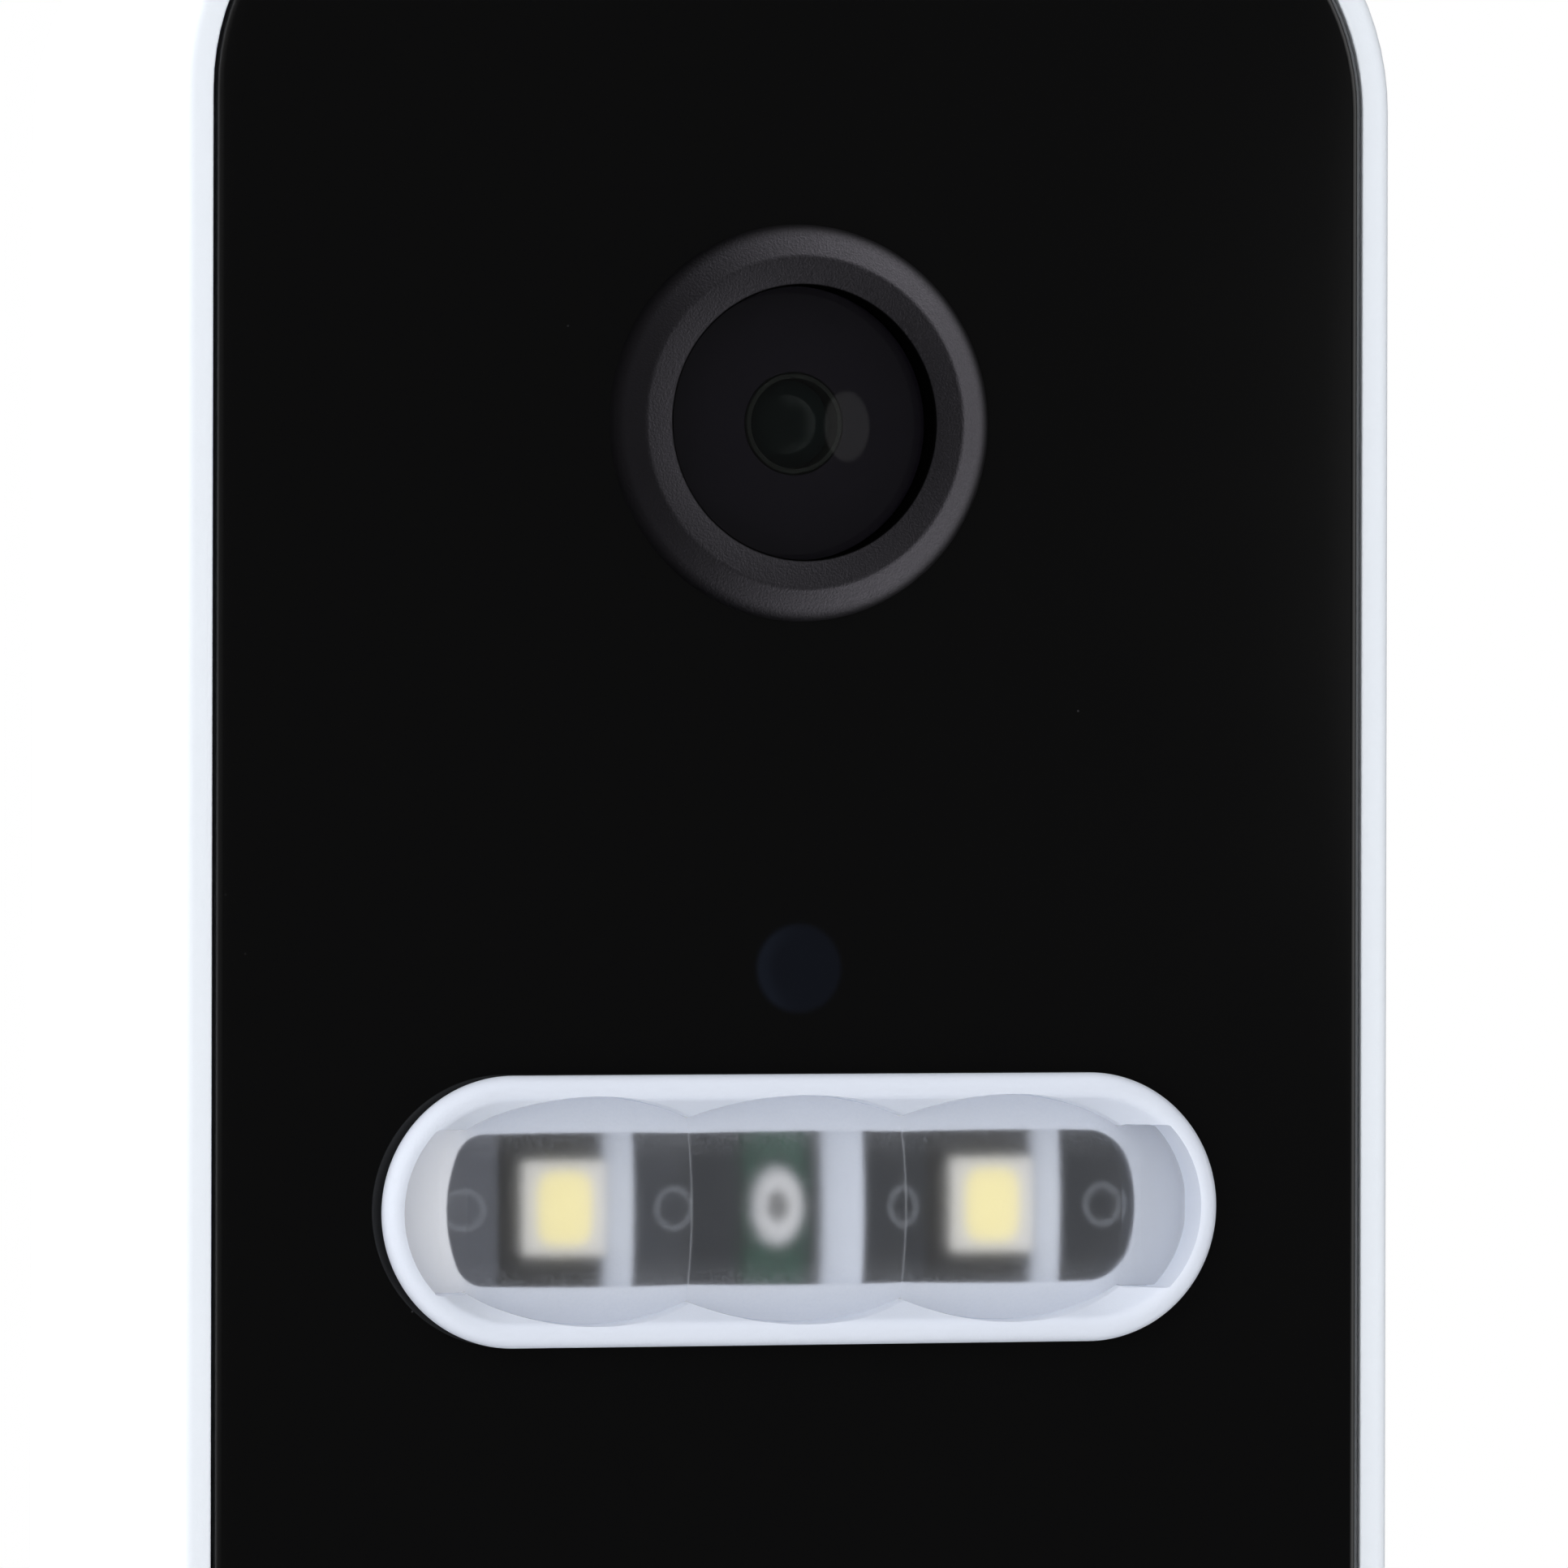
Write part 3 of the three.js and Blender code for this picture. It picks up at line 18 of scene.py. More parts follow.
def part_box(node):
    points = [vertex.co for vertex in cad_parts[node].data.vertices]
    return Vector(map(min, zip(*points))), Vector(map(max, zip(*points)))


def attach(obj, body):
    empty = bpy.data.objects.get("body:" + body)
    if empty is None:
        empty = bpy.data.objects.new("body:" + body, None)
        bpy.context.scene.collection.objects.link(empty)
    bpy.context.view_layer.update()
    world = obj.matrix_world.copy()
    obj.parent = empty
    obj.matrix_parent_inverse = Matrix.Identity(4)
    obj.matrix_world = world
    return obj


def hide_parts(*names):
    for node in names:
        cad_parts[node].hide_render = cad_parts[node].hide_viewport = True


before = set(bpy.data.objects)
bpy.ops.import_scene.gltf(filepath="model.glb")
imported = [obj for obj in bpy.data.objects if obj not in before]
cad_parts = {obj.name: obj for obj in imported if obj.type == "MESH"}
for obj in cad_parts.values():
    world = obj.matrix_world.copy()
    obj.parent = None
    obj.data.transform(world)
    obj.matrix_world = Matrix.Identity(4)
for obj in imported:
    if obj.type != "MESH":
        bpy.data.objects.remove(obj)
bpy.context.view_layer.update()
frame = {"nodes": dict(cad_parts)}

bl_info = {
    "name": "Video Doorbell",
    "version": (1, 0, 0),
    "blender": (4, 5, 0),
    "location": "View3D > Sidebar > Doorbell",
    "description": "Builds a battery video doorbell round its packed frame",
    "category": "Object",
}

MM = 0.001


class Extent:
    """A CAD node's box: its width in X, its depths in front of the wall, its height in Z."""

    def __init__(self, node):
        low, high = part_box(node)
        self.left, self.right = round(low.x / MM, 4), round(high.x / MM, 4)
        self.back, self.front = round(-high.y / MM, 4), round(-low.y / MM, 4)
        self.foot, self.top = round(low.z / MM, 4), round(high.z / MM, 4)
        self.width, self.height = self.right - self.left, self.top - self.foot
        self.x, self.z = (self.left + self.right) / 2, (self.foot + self.top) / 2
        self.depth = (self.back + self.front) / 2


HOUSING = Extent("front_housing")
PANEL = Extent("front_panel")
BEZEL = Extent("lens_bezel")
PLATE = Extent("lens_plate")
COVER_GLASS = Extent("lens_cover")
BARREL = Extent("lens_barrel")
FRONT_LENS = Extent("front_lens")
SENSOR = Extent("sensor_window")
LIGHT = Extent("light_bezel")
OPTIC = Extent("light_lens")
REFLECTOR = Extent("light_reflector")
LIGHT_BOARD = Extent("light_board")
CAP = Extent("button_cap")
RING = Extent("button_ring")
GASKET = Extent("cover_gasket")
FLAP = Extent("usb_flap")
PORT = Extent("usb_port")
SPEAKER = Extent("speaker")
SPEAKER_MESH = Extent("speaker_mesh")
MIC = Extent("microphone")
DECK_BACK = Extent("lens_seal").front
DECK_FRONT = Extent("panel_tape").back

# Clearances, and the roundings of small edges
GAP = 0.3
CUT = 1.0
CRISP = 0.05
SOFT = 0.1

# How finely curves are divided
ROUND_SIDES = 128
SMALL_SIDES = 48
ARC_STEPS = 20
EASE_STEPS = 7
MERGE_M = 2e-7

# The shell and its holes
WALL = 1.8
CORNER = 12.0
RIM_LIP = 1.3
NECK_HOLE_R = 8.0
MIC_HOLE_R, MIC_PANEL_R = 2.2, 0.6
SLOT_PITCH, SLOT_W, SLOT_INSET = 2.6, 1.2, 0.6
PORT_ROOM, PORT_HOLE_T, PORT_CORNER = 0.4, 3.6, 1.7
FLAP_T, FLAP_SEAT, HINGE_ROOM = 0.8, 0.2, 0.6
PANEL_FLAT = 2.0

# The camera's radii, and the fall of the bezel past its face
APERTURE_R, FACE_R, FALL_R, NECK_R, SEAT_R = 5.93, 7.2, 8.1, 7.7, 6.7
FACE_DISH = 0.12
FALL_TILT, FALL_ROUND = math.radians(25), 1.2
MASK_HOLE_R, MASK_R = 2.22, 6.4
GLASS_LAP, GLASS_EDGE = 0.5, 0.3
NOSE_R, NOSE_BORE_R, NOSE_LENGTH = 2.15, 1.95, 1.1
BARREL_R, BARREL_BORE_R = 3.2, 1.2
LENS_EDGE = 0.5
SENSOR_R = 2.1

# The light's frame and the three domes of its lens: each dome's middle and half its width
LIGHT_W, LIGHT_H = 37.8, 11.7
NECK_INSET = 0.3
FRAME_SLOPE, FRAME_HOLLOW = 1.85, 0.12
FLANGE_RISE = 0.5
BORE_W, BORE_H = 36.2, 10.1
DOMES = np.array([[-9.4, 7.71], [0.0, 8.25], [9.4, 7.71]])
DOME_HALF_HEIGHT = 4.95
DOME_CUSP = 4.86
DOMES_END = 14.85
FACET_END = 16.0
TAB_HALF_HEIGHT = 3.55
OPENING_END = 18.05
END_CENTRE = 13.05
OPTIC_RISE = 1.3
LENS_GAP = 0.06

# The reflector's slot and ribs (front, foot), the baffle's strips and posts, and the lamps
SLOT_HALF, SLOT_END, SLOT_BOW = 3.15, 15.3, 14.8
SLOT_CORNERS = (0.8, 1.3)
RIB_T, RIB_TOP = 0.06, 25.7
RIBS = [(-12.9, -12.6), (-7.1, -8.0), (-2.2, -1.9), (3.35, 1.9), (6.5, 6.8), (12.35, 11.5)]
STRIP_TOP = 25.72
STRIPS = [(-15.2, -12.83), (-7.03, -2.13), (3.42, 6.57), (12.42, 15.5)]
POSTS = (5.3, 14.3)
POST_R, POST_BORE_R = 0.9, 0.62
SHEET_W, SHEET_H = 35.8, 9.7
LAMP_X, LAMP_W, LAMP_T = 9.72, 3.5, 0.7
RING_LAMP_HALF = (1.45, 3.0)

# The button and its light ring
CAP_R, CAP_EDGE, CAP_FLANGE, CAP_FLANGE_T = 11.2, 0.4, 1.1, 0.7
RING_R, RING_FLANGE, RING_FLANGE_T, RING_DEEP = 13.4, 1.5, 0.8, 2.8


# ---------------------------------------------------------------- sizes and colours to change


def length(name, description, default_mm):
    """A length property, given in millimetres and kept in metres."""
    return FloatProperty(
        name=name, description=description, default=default_mm * MM, unit="LENGTH", precision=5
    )


def tint(name, description, default):
    """A colour property."""
    return FloatVectorProperty(
        name=name, description=description, default=default, size=3, subtype="COLOR",
        min=0.0, max=1.0,
    )


def turn(name, description, default_degrees):
    """An angle property, given in degrees and kept in radians."""
    return FloatProperty(
        name=name, description=description, default=math.radians(default_degrees),
        subtype="ANGLE", unit="ROTATION",
    )


class HousingSettings(PropertyGroup):
    """The white shell and its black front panel."""

    edge: length("Edge rounding", "Rounding of the shell's outer edges", 0.5)
    chamfer: length("Panel chamfer", "Width of the panel's chamfer", 0.4)
    shell: tint("Shell colour", "Colour of the white plastic", (0.83, 0.875, 0.94))
    panel: tint("Panel colour", "Colour under the panel's gloss", (0.0024, 0.0024, 0.0025))


class LensSettings(PropertyGroup):
    """The camera's bezel and what stands inside it."""

    ease: length("Bezel rounding", "Rounding of the bezel's edges", 0.12)
    bezel: tint("Bezel colour", "Colour of the satin bezel", (0.0038, 0.0038, 0.0045))
    plate: tint("Plate colour", "Colour of the plate round the camera", (0.0052, 0.0040, 0.0068))


class LightSettings(PropertyGroup):
    """The light's frame, its clear lens and the lamps behind it."""

    crest: length("Crest rounding", "Radius of the bead round the frame", 0.6)
    frame: tint("Frame colour", "Colour of the white frame", (0.72, 0.765, 0.865))
    phosphor: tint("Phosphor colour", "Colour of the white lamps' phosphor", (1.0, 0.91, 0.46))
    board: tint("Board colour", "Colour of the solder mask", (0.022, 0.105, 0.068))


class ButtonSettings(PropertyGroup):
    """The push button and its light ring."""

    dish: length("Dish", "How far the button's face is hollowed", 0.35)
    cap: tint("Cap colour", "Colour of the button's cap", (0.012, 0.012, 0.0135))
    ring: tint("Ring colour", "Colour of the milky light ring", (0.60, 0.66, 0.755))


class StageSettings(PropertyGroup):
    """The floor, the surrounding light and the camera."""

    azimuth: turn("Azimuth", "The camera's turn round the doorbell", -17.6)
    elevation: turn("Elevation", "The camera's height above level", 0.0)
    roll: turn("Roll", "The camera's turn about its own axis", 0.12)
    distance: FloatProperty(
        name="Distance", description="From the camera to what it aims at",
        default=0.504, unit="LENGTH",
    )
    lens: FloatProperty(name="Lens", description="The camera's focal length in mm", default=268.0)
    aim: FloatVectorProperty(
        name="Aim", description="The point that the camera looks at",
        default=(-0.00095, -0.02885, 0.03138), size=3, subtype="XYZ", unit="LENGTH",
    )
    floor: FloatProperty(
        name="Floor", description="Radius of the pale floor", default=0.6, unit="LENGTH"
    )


class DoorbellSettings(PropertyGroup):
    """All of the doorbell's settings."""

    housing: PointerProperty(type=HousingSettings)
    lens: PointerProperty(type=LensSettings)
    light: PointerProperty(type=LightSettings)
    button: PointerProperty(type=ButtonSettings)
    stage: PointerProperty(type=StageSettings)


# ---------------------------------------------------------------- surfaces


def linked(name, mesh):
    """A new object in the scene that holds a mesh."""
    piece = bpy.data.objects.new(name, mesh)
    bpy.context.scene.collection.objects.link(piece)
    return piece


def skin(name, points, wrap_rows=False, wrap_columns=True, caps=True):
    """A closed mesh over a grid of points: four-sided faces between neighbouring rows and columns.

    A grid that doesn't wrap along its rows is closed at both ends by one flat face each, unless
    the end row is a single point, where the sides meet in a pole. Faces are turned outwards.
    """
    rows, columns = points.shape[:2]
    index = np.arange(rows * columns).reshape(rows, columns)
    across = np.vstack([index, index[:1]]) if wrap_rows else index
    across = np.hstack([across, across[:, :1]]) if wrap_columns else across
    quads = np.stack([across[:-1, :-1], across[:-1, 1:], across[1:, 1:], across[1:, :-1]], axis=-1)
    corners = [quads.ravel()]
    sizes = [np.full(quads.size // 4, 4)]
    if caps and not wrap_rows:
        corners += [index[0, ::-1], index[-1]]
        sizes += [np.full(2, columns)]
    corners, sizes = np.concatenate(corners), np.concatenate(sizes)
    place = points.reshape(-1, 3) * np.array([MM, -MM, MM])
    mesh = bpy.data.meshes.new(name)
    mesh.vertices.add(len(place))
    mesh.vertices.foreach_set("co", place.ravel())
    mesh.loops.add(len(corners))
    mesh.loops.foreach_set("vertex_index", corners.astype(np.int32))
    mesh.polygons.add(len(sizes))
    mesh.polygons.foreach_set("loop_start", (np.cumsum(sizes) - sizes).astype(np.int32))
    mesh.update(calc_edges=True)
    mesh.validate()
    work = bmesh.new()
    work.from_mesh(mesh)
    bmesh.ops.remove_doubles(work, verts=work.verts, dist=MERGE_M)
    bmesh.ops.dissolve_degenerate(work, dist=MERGE_M, edges=work.edges)
    bmesh.ops.recalc_face_normals(work, faces=work.faces)
    work.to_mesh(mesh)
    work.free()
    return linked(name, mesh)


def eased(profile, loop=False):
    """A profile with its corners rounded.

    Each corner becomes the short curve (1-t)^2 start + 2t(1-t) corner + t^2 end, whose start and
    end lie on the corner's two sides, its rounding away or half a side if that is less.
    """
    points = np.array([corner[:2] for corner in profile], float)
    reach = np.array([corner[2] if len(corner) > 2 else 0.0 for corner in profile])
    back, ahead = np.roll(points, 1, axis=0) - points, np.roll(points, -1, axis=0) - points
    back_length = np.maximum(np.hypot(*back.T), 1e-9)
    ahead_length = np.maximum(np.hypot(*ahead.T), 1e-9)
    if not loop:
        reach[0] = reach[-1] = 0.0
    reach = np.minimum(reach, 0.49 * np.minimum(back_length, ahead_length))
    start = points + back * (reach / back_length)[:, None]
    end = points + ahead * (reach / ahead_length)[:, None]
    t = np.linspace(0, 1, EASE_STEPS)[None, :, None]
    curve = (1 - t) ** 2 * start[:, None] + 2 * t * (1 - t) * points[:, None] + t**2 * end[:, None]
    curve = curve.reshape(-1, 2)
    step = np.hypot(*(curve - np.roll(curve, 1, axis=0)).T)
    step[0] = 1.0
    return curve[step > 1e-6]


def dome(radius, edge, crown, steps=25):
    """Profile corners from a round face's rim to its middle: edge + crown (1 - s^2) at s radii."""
    return [(radius * s, edge + crown * (1 - s * s)) for s in np.linspace(1, 0, steps)]


def stacked(across, other, along, upright):
    """Grid points from an outline's two parts and the depth, or an upright piece's height."""
    along = np.broadcast_to(np.asarray(along)[:, None], across.shape)
    parts = (across, other, along) if upright else (across, along, other)
    return np.stack(parts, axis=-1)


def turned(name, profile, x=0.0, z=0.0, sides=ROUND_SIDES, loop=False, upright=False, tall=1.0):
    """A profile of (radius, depth, rounding) corners turned about a line through the body.

    The point at angle a is (x + radius cos a, depth, z + tall radius sin a). An upright piece
    turns about a vertical line instead: the profile's depth is then a height, and z a depth.
    """
    radius, along = eased(profile, loop).T
    angle = np.linspace(0, 2 * np.pi, sides, endpoint=False)
    across = x + radius[:, None] * np.cos(angle)
    other = z + tall * radius[:, None] * np.sin(angle)
    return skin(name, stacked(across, other, along, upright), wrap_rows=loop)


def rounded_rectangle(width, height, corner):
    """The centre and the outward direction at each point of a rounded rectangle's outline."""
    angle = np.linspace(0, np.pi / 2, ARC_STEPS + 1) + np.arange(4)[:, None] * np.pi / 2
    sign_x, sign_z = np.array([1, -1, -1, 1]), np.array([1, 1, -1, -1])
    reach_x, reach_z = width / 2 - corner, height / 2 - corner
    centre = np.stack([sign_x * reach_x, sign_z * reach_z], axis=-1)[:, None]
    centre = np.broadcast_to(centre, (4, ARC_STEPS + 1, 2)).reshape(-1, 2)
    return centre, np.stack([np.cos(angle), np.sin(angle)], axis=-1).reshape(-1, 2), corner


def carried(name, profile, shape, x=0.0, z=0.0, loop=False, upright=False):
    """A profile of (inset, depth, rounding) corners carried round an outline.

    The point at an inset is centre + (corner radius - inset) times the outward direction. An
    upright piece has its outline in X and depth: the profile's depth is a height, and z a depth.
    """
    centre, direction, corner = shape
    inset, along = eased(profile, loop).T
    reach = np.maximum(corner - inset, 0.0)
    flat = centre[None] + reach[:, None, None] * direction[None] + np.array([x, z])
    return skin(name, stacked(flat[..., 0], flat[..., 1], along, upright), wrap_rows=loop)


def prism(name, outline, low, high, upright=False):
    """A flat outline of (x, z) points carried straight from one depth to another.

    An upright prism has its outline in X and depth, and runs between two heights.
    """
    outline = np.asarray(outline, float)
    flat = np.broadcast_to(outline, (2, *outline.shape))
    return skin(name, stacked(flat[..., 0], flat[..., 1], (low, high), upright))


def block(name, x0, x1, back, front, half, ease):
    """A block across the light's middle, half a height each way, its outline's corners eased."""
    z0, z1 = LIGHT.z - half, LIGHT.z + half
    corners = [(x0, z0, ease), (x1, z0, ease), (x1, z1, ease), (x0, z1, ease)]
    return prism(name, eased(corners, loop=True), back, front)


def rod(radius, back, front, x, z, sides=SMALL_SIDES):
    """A plain round bar, for cutting holes."""
    return turned("hole", [(0, back), (radius, back), (radius, front), (0, front)], x, z, sides)


def slab(name, width, height, corner, back, front, x=0.0, z=0.0, upright=False):
    """A plain rounded plate."""
    shape = rounded_rectangle(width, height, corner)
    return carried(name, [(0, back), (0, front)], shape, x, z, upright=upright)


def pill(name, width, height, back, front):
    """A plain plate with round ends, at the light."""
    return slab(name, width, height, height / 2, back, front, 0.0, LIGHT.z)


def carve(piece, *tools, operation="DIFFERENCE"):
    """Cuts the tools out of the piece, or joins them to it, and removes the tools."""
    for tool in tools:
        change = piece.modifiers.new("carve", "BOOLEAN")
        change.operation = operation
        change.solver = "MANIFOLD"
        change.object = tool
    settled(piece)
    for tool in tools:
        mesh = tool.data
        bpy.data.objects.remove(tool)
        bpy.data.meshes.remove(mesh)


def settled(piece):
    """The piece with its modifiers made part of its mesh."""
    seen = piece.evaluated_get(bpy.context.evaluated_depsgraph_get())
    mesh = bpy.data.meshes.new_from_object(seen)
    old = piece.data
    piece.modifiers.clear()
    piece.data = mesh
    mesh.name = piece.name
    bpy.data.meshes.remove(old)
    return piece


def refined(name, node, ease):
    """A copy of a CAD node with its flat faces made whole and its edges eased."""
    mesh = frame["nodes"][node].data.copy()
    mesh.name = name
    piece = linked(name, mesh)
    mesh.materials.clear()
    work = bmesh.new()
    work.from_mesh(mesh)
    bmesh.ops.remove_doubles(work, verts=work.verts, dist=1e-6)
    bmesh.ops.dissolve_limit(
        work, angle_limit=math.radians(1), verts=work.verts, edges=work.edges
    )
    work.to_mesh(mesh)
    work.free()
    bevel = piece.modifiers.new("ease", "BEVEL")
    bevel.width = ease * MM
    bevel.segments = 2
    bevel.limit_method = "ANGLE"
    bevel.angle_limit = math.radians(30)
    bevel.use_clamp_overlap = True
    return settled(piece)


def placed(piece, body, slot, finish_, *nodes, crisp=32.0):
    """The piece smoothed except past an angle, finished, and set on its body for its CAD nodes."""
    mesh = piece.data
    mesh.shade_smooth()
    mesh.set_sharp_from_angle(angle=math.radians(crisp))
    even = piece.modifiers.new("even", "WEIGHTED_NORMAL")
    even.keep_sharp = True
    even.weight = 100
    mesh.materials.clear()
    mesh.materials.append(finish_)
    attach(piece, body)
    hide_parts(*nodes)


# ---------------------------------------------------------------- shader maths


def worked(operation, reflected=False):
    """A Math node's operation as an operator of a term."""
    def apply(term, other):
        values = (other, term) if reflected else (term, other)
        return term.graph.math(operation, *values)
    return apply


class Term:
    """A shader socket that adds, multiplies and so on like a number, one Math node a step."""

    __add__ = __radd__ = worked("ADD")
    __mul__ = __rmul__ = worked("MULTIPLY")
    __sub__, __rsub__ = worked("SUBTRACT"), worked("SUBTRACT", reflected=True)
    __truediv__, __rtruediv__ = worked("DIVIDE"), worked("DIVIDE", reflected=True)
    __pow__ = worked("POWER")

    def __init__(self, graph, socket):
        self.graph = graph
        self.socket = socket

    def __neg__(self):
        return self * -1.0

    def __abs__(self):
        return self.graph.math("ABSOLUTE", self)


class Graph:
    """A node tree and the few ways that nodes are added to it."""

    def __init__(self, tree):
        self.tree = tree
        self.places = {}
        tree.nodes.clear()

    def node(self, kind, settings=None, sockets=None, output=0):
        """Any node, from its type, its settings and the values or links of its sockets."""
        made = self.tree.nodes.new(kind)
        for name, value in (settings or {}).items():
            setattr(made, name, value)
        for name, value in (sockets or {}).items():
            if isinstance(value, Term):
                self.tree.links.new(value.socket, made.inputs[name])
            elif made.inputs[name].type == "RGBA":
                made.inputs[name].default_value = (*value[:3], 1.0)
            else:
                made.inputs[name].default_value = value
        return Term(self, made.outputs[output])

    def math(self, operation, *values):
        """A Math node over values."""
        return self.node("ShaderNodeMath", {"operation": operation}, dict(enumerate(values)))

    def smooth(self, value, start, end):
        """0 below start and 1 past end, with an even curve between."""
        sockets = {"Value": value, "From Min": start, "From Max": end}
        return self.node("ShaderNodeMapRange", {"interpolation_type": "SMOOTHSTEP"}, sockets)

    def fall(self, value, start, end):
        """1 below start and 0 past end, with an even curve between."""
        return 1.0 - self.smooth(value, start, end)

    def mixed(self, share, first, second):
        """A colour between two colours."""
        sockets = {0: share, 6: first, 7: second}
        return self.node("ShaderNodeMix", {"data_type": "RGBA"}, sockets, output=2)

    def blend(self, share, first, second):
        """A shader between two shaders."""
        return self.node("ShaderNodeMixShader", None, {0: share, 1: first, 2: second})

    def ray(self, kind):
        """1 for rays of a kind, such as Shadow."""
        return self.node("ShaderNodeLightPath", output=f"Is {kind} Ray")

    def place(self, x=0.0, z=0.0, stretch=(1.0, 1.0, 1.0)):
        """Object coordinates in millimetres, from a line through the body at (x, z)."""
        key = (x, z, stretch)
        if key not in self.places:
            raw = self.node("ShaderNodeTexCoord", output="Object")
            centre = (x * MM, 0.0, z * MM)
            scale = tuple(s / MM for s in stretch)
            centred = self.node(
                "ShaderNodeVectorMath", {"operation": "SUBTRACT"}, {0: raw, 1: centre}
            )
            self.places[key] = self.node(
                "ShaderNodeVectorMath", {"operation": "MULTIPLY"}, {0: centred, 1: scale}
            )
        return self.places[key]

    def parts(self, vector=None):
        """A vector's three parts, or those of the place in millimetres."""
        first = self.node("ShaderNodeSeparateXYZ", None, {0: vector or self.place()})
        return [Term(self, output) for output in first.socket.node.outputs]

    def reach(self, first, second):
        """The length of a line with two parts: the root of their squares' sum."""
        return self.math("SQRT", first * first + second * second)

    def radius(self, x, z):
        """Distance in millimetres from a line through the body at (x, z)."""
        across, _, up = self.parts(self.place(x, z))
        return self.reach(across, up)

    def noise(self, size, detail=2.0, roughness=0.5, seed=0.0, place=None):
        """Soft noise between 0 and 1, whose blobs are about the given size in millimetres."""
        sockets = {
            "Vector": place or self.place(), "Scale": 1.0 / size, "Detail": detail,
            "Roughness": roughness, "W": seed,
        }
        return self.node("ShaderNodeTexNoise", {"noise_dimensions": "4D"}, sockets)

    def cells(self, size):
        """Distance within a pattern of scattered cells, in cells of the given size."""
        sockets = {"Vector": self.place(), "Scale": 1.0 / size}
        return self.node("ShaderNodeTexVoronoi", None, sockets)

    def bump(self, height, depth_mm):
        """A normal bent by a height between 0 and 1 times a depth in millimetres."""
        sockets = {"Height": height, "Distance": depth_mm * MM, "Strength": 1.0}
        return self.node("ShaderNodeBump", None, sockets)

    def principled(self, **sockets):
        """A Principled shader: its sockets by name, with _ for each space."""
        named = {name.replace("_", " "): value for name, value in sockets.items()}
        return self.node("ShaderNodeBsdfPrincipled", None, named)

    def plain(self, kind, colour):
        """A shader that has only a colour."""
        return self.node(f"ShaderNode{kind}", None, {"Color": colour})

    def output(self, shader, kind="Material"):
        """Ends the tree with a shader."""
        end = self.tree.nodes.new(f"ShaderNodeOutput{kind}")
        self.tree.links.new(shader.socket, end.inputs["Surface"])


def shaded(colour, share):
    """A colour made lighter or darker by a share."""
    return tuple(min(1.0, part * share) for part in colour[:3])


FINISHES = {}


def finish(make):
    """A finish function that makes its material once, under the function's own name."""
    @functools.wraps(make)
    def once(*values):
        name = make.__name__
        if name not in FINISHES:
            material = bpy.data.materials.new(name)
            material.use_nodes = True
            graph = Graph(material.node_tree)
            graph.output(make(graph, *values))
            FINISHES[name] = material
        return FINISHES[name]
    return once


# ---------------------------------------------------------------- finishes


def moulding(name, gloss, grain, relief, mottle, specular=0.5, colour=None):
    """A finish of moulded plastic: a fine grain over faint flow marks, a little uneven in gloss.

    It has the colour given here, or else the one that it is called with.
    """
    def make(graph, given=colour):
        fine = graph.noise(grain, detail=3.0, roughness=0.6)
        flow = graph.noise(6.0, seed=3.0)
        patch = graph.noise(1.1, seed=7.0)
        marks = flow * 0.6 + patch * 0.4
        return graph.principled(
            Base_Color=graph.mixed(marks, shaded(given, 1 - mottle), shaded(given, 1 + mottle)),
            Roughness=(fine - 0.5) * 0.12 + (patch - 0.5) * 0.08 + gloss,
            Normal=graph.bump(fine, relief), Specular_IOR_Level=specular,
        )
    make.__name__ = name
    return finish(make)


def clouded(graph, cloud, dark, light, gloss, spread, **sockets):
    """Two colours mixed by soft noise, which also makes the gloss a little uneven."""
    return graph.principled(
        Base_Color=graph.mixed(cloud, dark, light), Roughness=cloud * spread + gloss, **sockets
    )


# White housing plastic with a fine satin texture, and the light frame's with a coarser sparkle
white_shell = moulding("white_shell", 0.46, grain=0.16, relief=0.008, mottle=0.012)
white_frame = moulding("white_frame", 0.42, grain=0.12, relief=0.012, mottle=0.015)
# The matte plate behind the cover glass, and the black anodised barrel, faintly green
dark_plate = moulding("dark_plate", 0.62, grain=0.09, relief=0.003, mottle=0.05, specular=0.03)
lens_metal = moulding(
    "lens_metal", 0.5, grain=0.05, relief=0.001, mottle=0.06, specular=0.15,
    colour=(0.0055, 0.0065, 0.0055),
)
# Plain mouldings for what stands inside, and the coarse dark grey of the bracket
dark_plastic = moulding(
    "dark_plastic", 0.55, grain=0.2, relief=0.006, mottle=0.08, colour=(0.02, 0.02, 0.024)
)
chip_plastic = moulding(
    "chip_plastic", 0.5, grain=0.08, relief=0.006, mottle=0.1, colour=(0.02, 0.02, 0.021)
)
pale_plastic = moulding(
    "pale_plastic", 0.45, grain=0.2, relief=0.004, mottle=0.03, colour=(0.80, 0.78, 0.70)
)
bracket_plastic = moulding(
    "bracket_plastic", 0.58, grain=0.28, relief=0.02, mottle=0.07, colour=(0.050, 0.052, 0.057)
)


@finish
def white_reflector(graph, colour):
    """Matte white reflector plastic, whitened at its left end by painted light and greyed at its
    right by painted shade.
    """
    across, _, _ = graph.parts()
    cloud = graph.noise(1.5)
    # Painted shade greys the right end and painted light whitens the left end.
    base = graph.mixed(graph.smooth(across, 13.5, 16.0), shaded(colour, 0.97), shaded(colour, 0.74))
    base = graph.mixed(graph.smooth(-across, 13.5, 15.5), base, (0.94, 0.955, 1.0))
    return graph.principled(
        Base_Color=base, Roughness=cloud * 0.1 + 0.55, Specular_IOR_Level=0.3
    )


